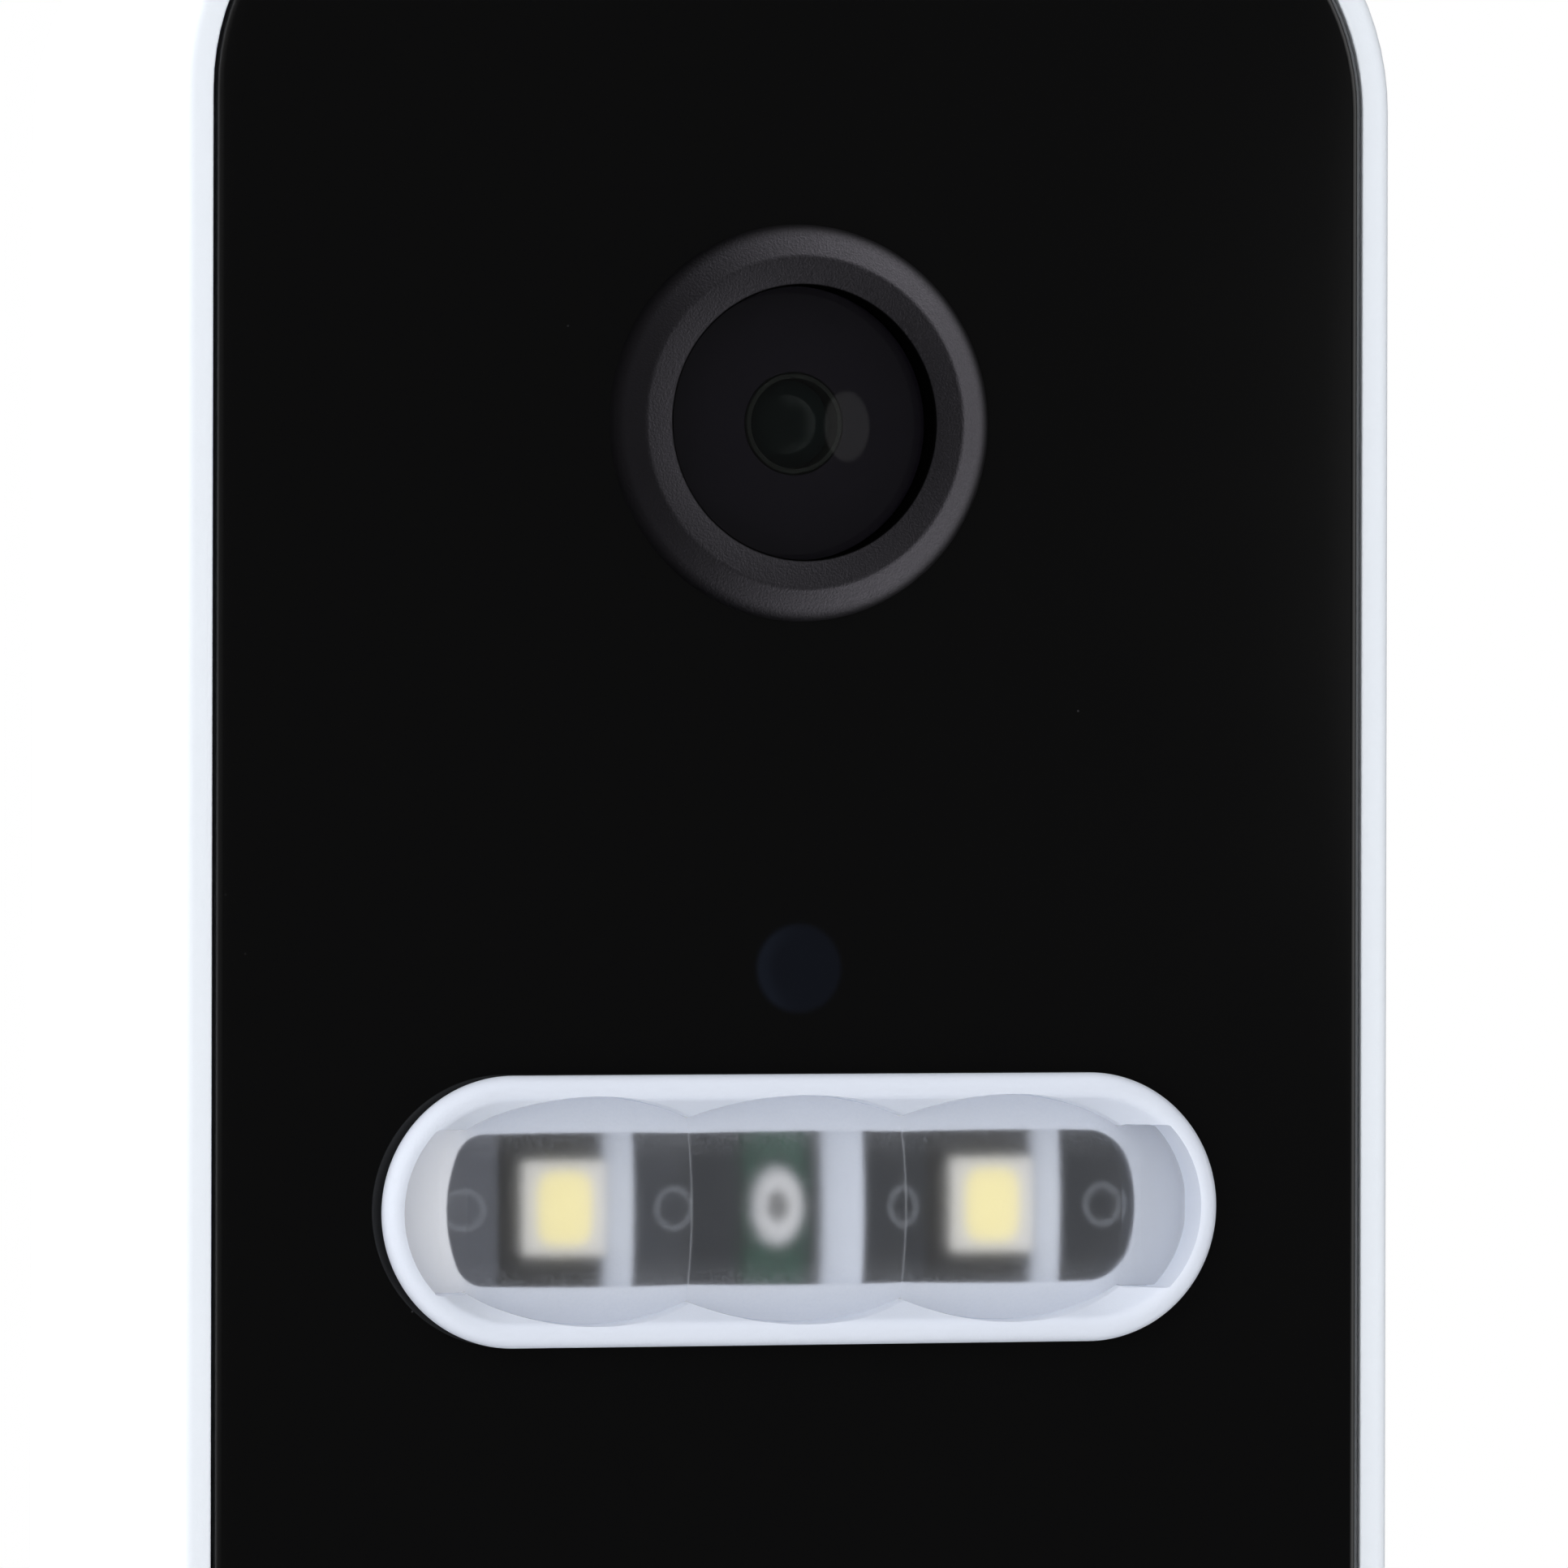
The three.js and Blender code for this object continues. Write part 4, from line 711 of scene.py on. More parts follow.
@finish
def gloss_panel(graph, colour):
    """Polished black panel with a few specks of dust and the faintest polishing waves."""
    lone = graph.noise(3.2, detail=0.0, seed=11.0)
    dust = graph.fall(graph.cells(2.6), 0.010, 0.028) * graph.smooth(lone, 0.56, 0.66)
    haze = graph.noise(14.0, detail=3.0, seed=5.0)
    wave = graph.noise(9.0, detail=1.0, seed=2.0)
    return graph.principled(
        Base_Color=graph.mixed(dust, colour, (0.03, 0.03, 0.031)),
        Roughness=dust * 0.4 + haze * 0.05 + 0.045, Normal=graph.bump(wave, 0.002),
    )


@finish
def satin_bezel(graph, colour):
    """Satin black bezel with a fine grain, turned matte black by painted shade inside its aperture
    and towards its outer edge.
    """
    fine = graph.noise(0.10, detail=3.0, roughness=0.65)
    spark = graph.noise(0.10, detail=1.0, seed=4.0)
    radius = graph.radius(BEZEL.x, BEZEL.z)
    # Painted shade: the aperture's wall and the bezel's outer fall become matte black.
    inside = graph.fall(radius, APERTURE_R + 0.04, APERTURE_R + 0.12)
    painted_shade_rim = graph.smooth(radius, 7.95, 8.6) * 0.8
    satin = graph.principled(
        Base_Color=graph.mixed(fine, shaded(colour, 0.4), shaded(colour, 1.6)),
        Roughness=(spark - 0.5) * 0.4 + 0.40, Normal=graph.bump(fine, 0.028),
        Specular_IOR_Level=1.0, Specular_Tint=(0.98, 0.93, 1.06),
    )
    black = graph.plain("BsdfDiffuse", (0.0006, 0.0006, 0.0006))
    return graph.blend(graph.math("MAXIMUM", inside, painted_shade_rim), satin, black)


def clear(graph, colour, ior, roughness, **sockets):
    """Clear plastic or glass; shadow rays and rays that have bounced pass through it unbent."""
    glass = graph.principled(
        Base_Color=colour, Transmission_Weight=1.0, IOR=ior, Roughness=roughness, **sockets
    )
    bare = graph.plain("BsdfTransparent", colour)
    return graph.blend(graph.ray("Shadow"), graph.blend(graph.ray("Reflection"), glass, bare), bare)


@finish
def clear_lens(graph):
    """The light's moulded clear lens: frosted all over, with a painted highlight as a white line
    along each fold between its domes.
    """
    flow = graph.noise(1.6)
    fine = graph.noise(0.12, seed=5.0)
    across, depth, up = graph.parts()
    front = graph.smooth(-depth, 27.2, 27.5)
    # Painted highlight: a thin white line along the folds between the domes.
    painted_crease_highlight = graph.fall(abs(abs(across) - DOME_CUSP), 0.01, 0.09) * 0.12
    specks = graph.smooth(graph.noise(0.09, detail=1.0, seed=8.0), 0.60, 0.78) * 0.06
    streaks = graph.smooth(graph.noise(0.13, detail=3.0, seed=6.0), 0.35, 0.7)
    frost = graph.smooth(abs(up - LIGHT.z), 1.9, 3.4) * streaks * 0.11
    glass = clear(
        graph, (0.985, 0.985, 0.985), 1.49, flow * 0.04 + 0.31,
        Normal=graph.bump(fine, 0.004), Specular_IOR_Level=0.2,
    )
    white = graph.plain("BsdfDiffuse", (0.74, 0.77, 0.84))
    return graph.blend((painted_crease_highlight + specks + frost) * front + 0.008, glass, white)


@finish
def cover_glass(graph):
    """The camera's cover glass."""
    return clear(graph, (0.96, 0.98, 0.97), 1.5, 0.0)


@finish
def coated_glass(graph):
    """Dark coated glass of the camera's own lens, bluish green where it mirrors."""
    edge = graph.node("ShaderNodeLayerWeight", None, {"Blend": 0.3}, output="Facing")
    base = graph.mixed(edge, (0.002, 0.003, 0.003), (0.006, 0.012, 0.012))
    return graph.principled(
        Base_Color=base, Roughness=0.08, Specular_IOR_Level=0.06, Coat_Weight=0.03,
        Coat_Roughness=0.08, Coat_Tint=(0.55, 0.9, 1.0),
    )


@finish
def sensor_filter(graph, panel):
    """A dark filter behind the gloss, blue black in its middle with a paler crescent of painted
    light at its left, fading to the panel.
    """
    radius = graph.radius(SENSOR.x, SENSOR.z)
    side, _, _ = graph.parts(graph.place(SENSOR.x, SENSOR.z))
    inside = graph.fall(radius, 1.72, SENSOR_R)
    # Painted light: a paler crescent on the window's left side.
    painted_light_crescent = graph.smooth(radius, 0.9, 1.7) * graph.fall(side, -1.6, 0.2) * inside
    blue = graph.mixed(painted_light_crescent, (0.0042, 0.0052, 0.0085), (0.0062, 0.0080, 0.0130))
    return graph.principled(
        Base_Color=graph.mixed(inside, panel, blue),
        Roughness=graph.noise(0.3) * 0.02 + 0.05,
    )


@finish
def solder_mask(graph, colour):
    """Green solder mask with tracks under it."""
    across, _, up = graph.parts()
    track = graph.noise(0.8, detail=0.0, seed=9.0)
    lines = graph.smooth(graph.math("PINGPONG", across + up * 0.5 + track * 0.6, 0.5), 0.30, 0.36)
    return graph.principled(
        Base_Color=graph.mixed(lines, shaded(colour, 0.75), shaded(colour, 1.2)),
        Roughness=0.32 + track * 0.1, Normal=graph.bump(lines, 0.02),
    )


@finish
def lamp_body(graph, phosphor):
    """A white lamp: a white package with a rounded square of phosphor, with a painted glow that
    brightens it though the lamp is off.
    """
    across, _, up = graph.parts()
    side = abs(graph.math("PINGPONG", across, LAMP_X) - LAMP_X)
    square = (side / 1.16) ** 4.0 + (abs(up - LIGHT.z) / 1.38) ** 4.0
    inside = graph.fall(square, 0.5, 1.4)
    grain = graph.noise(0.25)
    yellow = graph.mixed(grain, shaded(phosphor, 0.92), shaded(phosphor, 1.05))
    # Painted glow: the phosphor emits a little light, though the lamp is off.
    return graph.principled(
        Base_Color=graph.mixed(inside, (0.88, 0.86, 0.82), yellow),
        Roughness=0.45 + grain * 0.1, Emission_Strength=0.25,
        Emission_Color=graph.mixed(inside, (0.0, 0.0, 0.0), (1.0, 0.76, 0.40)),
    )


@finish
def lamp_ring(graph):
    """A warm white ceramic ring, darker in the hole of the infrared lamp."""
    place = graph.place(z=LIGHT.z)
    across, _, up = graph.parts(place)
    hole = graph.fall(across * across + up * up * 0.6, 0.10, 0.26)
    fine = graph.noise(0.15, detail=3.0, place=place)
    base = graph.mixed(fine, (0.76, 0.76, 0.78), (0.84, 0.84, 0.86))
    base = graph.mixed(hole, base, (0.20, 0.20, 0.20))
    return graph.principled(Base_Color=base, Roughness=fine * 0.1 + 0.45)


@finish
def slot_grey(graph):
    """Dark bluish grey sheet under the light, brownish black in its pockets as painted shade.

    Each of its masks turns the colour to another: paler at the left as painted light, darker in the
    middle and at the right as painted shade, pale on the rings of its posts, and near black below
    the strips' tops as painted shade.
    """
    place = graph.place(z=LIGHT.z)
    across, depth, up = graph.parts(place)
    grain = graph.noise(0.2, place=place)
    middle = (POSTS[0] + POSTS[1]) / 2
    radius = graph.reach(abs(abs(across) - middle) - (middle - POSTS[0]), up)
    ring = graph.smooth(radius, 0.6, 0.68) * graph.fall(radius, 0.84, 0.92)
    # Painted shade: this mask darkens the middle and the right.
    shade = graph.smooth(across, -5.4, -4.2) + graph.smooth(across, 9.0, 12.0)
    base = graph.mixed(grain, (0.040, 0.044, 0.054), (0.052, 0.057, 0.070))
    # Painted light pales the left end; painted shade darkens the middle, the right, and the pockets
    # below the strips' tops.
    for mask, colour in (
        (graph.fall(across, -13.5, -11.5), (0.105, 0.112, 0.135)),
        (graph.math("MINIMUM", shade, 1.0) * 0.6, (0.012, 0.014, 0.018)),
        (ring * 0.45, (0.30, 0.32, 0.36)),
        (graph.fall(-depth, 24.6, 25.3), (0.012, 0.0105, 0.010)),
    ):
        base = graph.mixed(mask, base, colour)
    return graph.principled(
        Base_Color=base, Roughness=grain * 0.1 + 0.55, Normal=graph.bump(grain, 0.01),
        Specular_IOR_Level=0.15,
    )


@finish
def milky_ring(graph, colour):
    """Milky light guide round the button."""
    return clouded(
        graph, graph.noise(1.4), shaded(colour, 0.96), shaded(colour, 1.04), 0.28, 0.06,
        Subsurface_Weight=0.6, Subsurface_Radius=(1.0, 1.0, 1.0), Subsurface_Scale=0.0015,
    )


@finish
def satin_button(graph, colour):
    """Satin black button with fine turned rings."""
    rings = graph.math("SINE", graph.radius(CAP.x, CAP.z) * (2 * math.pi / 0.16))
    fine = graph.noise(0.10, detail=3.0, roughness=0.65)
    return clouded(
        graph, fine, shaded(colour, 0.75), shaded(colour, 1.3), 0.34, 0.1,
        Normal=graph.bump(rings * 0.5 + fine, 0.004),
    )


@finish
def rubber(graph):
    """Matte dark rubber with a dusty bloom."""
    bloom = graph.noise(2.5, detail=4.0, roughness=0.6)
    return clouded(
        graph, bloom, (0.030, 0.031, 0.034), (0.055, 0.056, 0.060), 0.68, 0.15,
        Normal=graph.bump(graph.noise(0.18, seed=2.0), 0.01),
    )


@finish
def white_rubber(graph):
    """White silicone."""
    return clouded(
        graph, graph.noise(2.0, detail=3.0), (0.66, 0.68, 0.72), (0.74, 0.76, 0.80), 0.6, 0.1,
        Normal=graph.bump(graph.noise(0.25, seed=2.0), 0.006),
    )


@finish
def foam(graph):
    """Open foam: dark pores in a grey web."""
    pore = graph.cells(0.35)
    base = graph.mixed(graph.smooth(pore, 0.1, 0.6), (0.02, 0.02, 0.022), (0.13, 0.135, 0.14))
    return graph.principled(Base_Color=base, Roughness=0.95, Normal=graph.bump(pore, 0.08))


@finish
def plated_steel(graph):
    """Plated steel with fine drawn lines and faint handling marks."""
    drawn = graph.place(stretch=(1.0, 1.0, 0.04))
    lines = graph.noise(0.08, detail=3.0, roughness=0.6, place=drawn)
    marks = graph.noise(1.6, detail=3.0, seed=3.0)
    return graph.principled(
        Base_Color=graph.mixed(marks, (0.52, 0.53, 0.54), (0.64, 0.65, 0.66)), Metallic=1.0,
        Roughness=lines * 0.15 + marks * 0.1 + 0.2, Normal=graph.bump(lines, 0.002),
    )


@finish
def brass(graph):
    """Stamped brass, a little tarnished."""
    tarnish = graph.noise(1.4, detail=4.0, roughness=0.6)
    return clouded(
        graph, tarnish, (0.78, 0.58, 0.27), (0.60, 0.42, 0.17), 0.2, 0.25, Metallic=1.0,
        Normal=graph.bump(graph.noise(0.1, seed=2.0), 0.003),
    )


@finish
def cell_sleeve(graph):
    """Blue shrink sleeve with soft wrinkles."""
    wrinkle = graph.noise(3.5, detail=3.0, place=graph.place(stretch=(0.5, 1.0, 1.0)))
    return clouded(
        graph, wrinkle, (0.025, 0.07, 0.20), (0.04, 0.10, 0.27), 0.28, 0.1,
        Normal=graph.bump(wrinkle, 0.12),
    )


@finish
def speaker_cloth(graph):
    """Fine black mesh: a weave of dark threads."""
    across, depth, _ = graph.parts()
    weave = graph.math("PINGPONG", across, 0.15) + graph.math("PINGPONG", depth, 0.15)
    base = graph.mixed(graph.smooth(weave, 0.06, 0.22), (0.004, 0.004, 0.004), (0.03, 0.03, 0.032))
    return graph.principled(Base_Color=base, Roughness=0.7, Normal=graph.bump(weave, 0.06))


@finish
def pale_floor(graph, reach):
    """Pale paper, faded out at its edge, and unseen from below and in reflections."""
    x, y, _ = graph.parts()
    paper = graph.noise(2.0, detail=3.0)
    base = graph.mixed(paper, (0.80, 0.80, 0.80), (0.83, 0.83, 0.83))
    fade = graph.smooth(graph.reach(x, y), reach * 0.45, reach * 0.97)
    fade = graph.math("MAXIMUM", fade, graph.ray("Glossy"))
    above = graph.node("ShaderNodeNewGeometry", output="Backfacing")
    fade = graph.math("MAXIMUM", fade, 1.0 - above)
    bare = graph.node("ShaderNodeBsdfTransparent")
    return graph.blend(fade, graph.principled(Base_Color=base, Roughness=0.8), bare)


# ---------------------------------------------------------------- housing and panel


def body_outline():
    """The doorbell's own outline."""
    return rounded_rectangle(HOUSING.width, HOUSING.height, CORNER)


def front_holes(back, front, mic):
    """Holes through the deck or the panel for what stands in them, and the microphone's."""
    back, front = back - CUT, front + CUT
    inset = NECK_INSET - 0.04
    return [
        rod(NECK_HOLE_R, back, front, BEZEL.x, BEZEL.z, ROUND_SIDES),
        pill("hole", LIGHT_W - 2 * inset, LIGHT_H - 2 * inset, back, front),
        rod(RING_R + GAP, back, front, CAP.x, CAP.z, ROUND_SIDES),
        rod(SENSOR_R, back, front, SENSOR.x, SENSOR.z, SMALL_SIDES * 2),
        rod(mic, back, front, MIC.x, MIC.z),
    ]


class DOORBELL_OT_housing(Operator):
    """Makes the white shell, with its rim, deck, grille slots and port hole."""

    bl_idname = "doorbell.housing"
    bl_label = "Housing"

    def execute(self, context):
        look = context.scene.doorbell.housing
        back, rim = HOUSING.back, HOUSING.front
        shell = carried("housing_shell", [
            (WALL, DECK_BACK), (WALL, back, SOFT), (0, back, 0.12), (0, rim, look.edge / MM),
            (RIM_LIP, rim, SOFT), (RIM_LIP, DECK_FRONT),
        ], body_outline())
        holes = front_holes(DECK_BACK, DECK_FRONT, MIC_HOLE_R)
        carve(shell, *holes, *self.grille_slots(), *self.port_hole())
        placed(shell, "doorbell", "white_plastic", white_shell(look.shell), "front_housing")
        return {"FINISHED"}

    def grille_slots(self):
        """Round-ended slots through the bottom wall, under the speaker."""
        last = math.floor((SPEAKER.width - 2 * SLOT_INSET - SLOT_W) / SLOT_PITCH)
        back, front = SPEAKER_MESH.back + SLOT_INSET, SPEAKER_MESH.front - SLOT_INSET
        low, high = HOUSING.foot - CUT, HOUSING.foot + WALL + CUT
        return [
            slab(
                "slot", SLOT_W, front - back, SLOT_W / 2, low, high,
                SPEAKER.x + (i - last / 2) * SLOT_PITCH, (back + front) / 2, upright=True,
            )
            for i in range(last + 1)
        ]

    def port_hole(self):
        """The port's hole in the bottom wall and the seat of its flap."""
        low, high = HOUSING.foot - CUT, HOUSING.foot + WALL + CUT
        back, front = FLAP.back - HINGE_ROOM, FLAP.front + GAP
        return [
            slab(
                "hole", PORT.width + PORT_ROOM, PORT_HOLE_T, PORT_CORNER, low, high,
                PORT.x, PORT.depth, upright=True,
            ),
            slab(
                "seat", FLAP.width + 2 * GAP, front - back, SOFT,
                low, FLAP.foot + FLAP_T + FLAP_SEAT, FLAP.x, (back + front) / 2, upright=True,
            ),
        ]


class DOORBELL_OT_panel(Operator):
    """Makes the gloss black front panel with its chamfered edge and its holes."""

    bl_idname = "doorbell.panel"
    bl_label = "Front panel"

    def execute(self, context):
        look = context.scene.doorbell.housing
        chamfer = look.chamfer / MM
        inset = (HOUSING.width - PANEL.width) / 2
        panel = carried("front_glass", [
            (PANEL_FLAT, PANEL.back), (0, PANEL.back, CRISP),
            (0, PANEL.front - chamfer, chamfer / 2), (chamfer, PANEL.front, chamfer / 2),
            (PANEL_FLAT, PANEL.front),
        ], rounded_rectangle(PANEL.width, PANEL.height, CORNER - inset))
        carve(panel, *front_holes(PANEL.back, PANEL.front, MIC_PANEL_R))
        placed(panel, "doorbell", "gloss_black", gloss_panel(look.panel), "front_panel")
        return {"FINISHED"}


# ---------------------------------------------------------------- camera


class DOORBELL_OT_camera_eye(Operator):
    """Makes the lens bezel, the plate, the cover glass, the barrel and its front glass."""

    bl_idname = "doorbell.camera_eye"
    bl_label = "Camera"

    def execute(self, context):
        look = context.scene.doorbell.lens
        x, z = BEZEL.x, BEZEL.z
        bezel = turned("lens_surround", [
            (APERTURE_R, BEZEL.front - FACE_DISH, 0.08), (FACE_R, BEZEL.front, look.ease / MM),
            *self.fall(), (NECK_R, PANEL.front - 0.02), (NECK_R, BEZEL.back, SOFT),
            (SEAT_R, BEZEL.back, SOFT), (SEAT_R, PLATE.front), (APERTURE_R, PLATE.front),
        ], x, z, loop=True)
        placed(bezel, "doorbell", "satin_black", satin_bezel(look.bezel), "lens_bezel", crisp=40)
        plate = turned("lens_mask", [
            (MASK_HOLE_R, PLATE.back), (MASK_R, PLATE.back, CRISP), (MASK_R, PLATE.front, CRISP),
            (MASK_HOLE_R, PLATE.front, CRISP),
        ], x, z, loop=True)
        placed(plate, "doorbell", "dark_plastic", dark_plate(look.plate), "lens_plate")
        radius = COVER_GLASS.width / 2 + GLASS_LAP
        glass = self.glass("cover_glass", COVER_GLASS, radius, GLASS_EDGE, x, z)
        placed(glass, "doorbell", "optic_glass", cover_glass(), "lens_cover")
        seat, nose_back = FRONT_LENS.back, BARREL.front - NOSE_LENGTH
        barrel = turned("lens_barrel_fine", [
            (NOSE_BORE_R, BARREL.front, 0.03), (NOSE_R, BARREL.front, 0.06), (NOSE_R, nose_back),
            (BARREL_R, nose_back, SOFT), (BARREL_R, BARREL.back), (BARREL_BORE_R, BARREL.back),
            (BARREL_BORE_R, seat, CRISP), (NOSE_BORE_R, seat),
        ], x, z, loop=True)
        placed(barrel, "doorbell", "dark_plastic", lens_metal(), "lens_barrel")
        radius = FRONT_LENS.width / 2
        lens = self.glass("lens_front_glass", FRONT_LENS, radius, LENS_EDGE, x, z)
        placed(lens, "doorbell", "optic_glass", coated_glass(), "front_lens")
        return {"FINISHED"}

    def fall(self):
        """The bezel's round fall from its tilted face to the panel.

        It is an arc of radius r from the tilt t on: (start + r (sin a - sin t), low + r cos a).
        """
        tilt, r, foot = FALL_TILT, FALL_ROUND, PANEL.front - 0.02
        low = BEZEL.front - (FALL_R - FACE_R) * math.tan(tilt) - r * math.cos(tilt)
        return [
            (FALL_R + r * (math.sin(a) - math.sin(tilt)), low + r * math.cos(a))
            for a in np.linspace(tilt, math.acos((foot - low) / r), 17)
        ]

    def glass(self, name, box, radius, edge, x, z):
        """A glass disc with a flat back and a domed front."""
        rim = box.back + edge
        front = dome(radius, rim, box.front - rim)
        return turned(name, [(0, box.back), (radius, box.back, CRISP), *front], x, z)


class DOORBELL_OT_light_sensor(Operator):
    """Makes the dark filter window of the ambient light sensor."""

    bl_idname = "doorbell.light_sensor"
    bl_label = "Light sensor"

    def execute(self, context):
        window = turned("sensor_filter", [
            (0, SENSOR.back), (SENSOR_R, SENSOR.back, CRISP), (SENSOR_R, SENSOR.front),
            (0, SENSOR.front),
        ], SENSOR.x, SENSOR.z, SMALL_SIDES * 2)
        filter_ = sensor_filter(context.scene.doorbell.housing.panel)
        placed(window, "doorbell", "sensor_blue", filter_, "sensor_window")
        return {"FINISHED"}


# ---------------------------------------------------------------- light


def dome_share(x, z=0.0):
    """How far inside the three ovals a point is: the largest 1 - (dx/width)^2 - (z/height)^2."""
    x, z = np.asarray(x, float)[..., None], np.asarray(z, float)[..., None]
    share = 1 - ((x - DOMES[:, 0]) / DOMES[:, 1]) ** 2 - (z / DOME_HALF_HEIGHT) ** 2
    return share.max(axis=-1)


def opening_height(x, clearance=0.0):
    """Half the height of the light's opening: the ovals, then a straight tab with a round end."""
    ovals = DOME_HALF_HEIGHT * np.sqrt(np.maximum(dome_share(x), 0.0))
    end = OPENING_END - END_CENTRE
    arc = np.sqrt(np.maximum(end**2 - np.maximum(np.abs(x) - END_CENTRE, 0.0) ** 2, 0.0))
    tab = np.minimum(arc, TAB_HALF_HEIGHT)
    return np.maximum(np.where(np.abs(x) <= DOMES_END, ovals, tab) - clearance, 0.0)


def opening_columns():
    """Places along the opening, closer together towards its round ends, with its corners."""
    end = DOMES_END + (OPENING_END - DOMES_END) * np.sin(np.linspace(0, np.pi / 2, 28))
    half = np.concatenate([
        np.linspace(0, DOME_CUSP, 24, endpoint=False), np.linspace(DOME_CUSP, DOMES_END, 56), end[1:]
    ])
    return np.concatenate([-half[:0:-1], half])


def light_frame_surface(radius):
    """The white frame round the light's opening, with a bead of the given radius round it.

    A point is given by its column and by its inset from the frame's outer edge. From the
    opening's edge the depth rises with a slope s to the bead's shoulder; the bead is the arc
    inset = r - r sin a, depth = centre + r cos a, which ends where the neck goes back.
    """
    x = opening_columns()
    top = np.stack([x, opening_height(x)], axis=-1)
    inner = np.concatenate([top, (top * [1, -1])[-2:0:-1]])
    past = np.maximum(np.abs(inner[:, 0]) - END_CENTRE, 0.0)
    angle = np.arctan2(inner[:, 1], past)
    outward = np.stack([np.sign(inner[:, 0]) * np.cos(angle), np.sin(angle)], axis=-1)
    reach = np.where(past > 0, np.hypot(past, inner[:, 1]), np.abs(inner[:, 1]))
    width = LIGHT_H / 2 - reach
    outer = inner + outward * width[:, None]

    centre = LIGHT.front - radius
    shoulder = radius * (1 + math.sin(math.atan(FRAME_SLOPE)))
    share = np.linspace(0, 1, 24)[:, None]
    inset = width[None] + (radius - width[None]) * share
    arc = centre + np.sqrt(np.maximum(radius**2 - (np.minimum(inset, shoulder) - radius) ** 2, 0))
    down = np.maximum(inset - shoulder, 0.0)
    depth = arc - FRAME_SLOPE * down * (1 - FRAME_HOLLOW * down)

    bend = np.linspace(0, math.pi - math.asin(1 - NECK_INSET / radius), 26)[1:, None]
    bead_inset = np.broadcast_to(radius - radius * np.sin(bend), (25, len(inner)))
    bead_depth = np.broadcast_to(centre + radius * np.cos(bend), (25, len(inner)))
    level = np.ones((1, len(inner)))
    inset = np.concatenate([width[None], inset, bead_inset, level * NECK_INSET])
    depth = np.concatenate([level * OPTIC.back, depth, bead_depth, level * DECK_BACK])
    flat = outer[None] - outward[None] * inset[..., None]
    return np.stack([flat[..., 0], depth, flat[..., 1] + LIGHT.z], axis=-1)


def slot_reach(z, corner):
    """How far the bowed end of the reflector's slot reaches at a height, its corners rounded."""
    over = np.clip((np.abs(z) - SLOT_HALF) / corner + 1.0, 0.0, 1.0)
    return SLOT_END - z**2 / SLOT_BOW - corner * (1.0 - np.sqrt(1.0 - over**2))


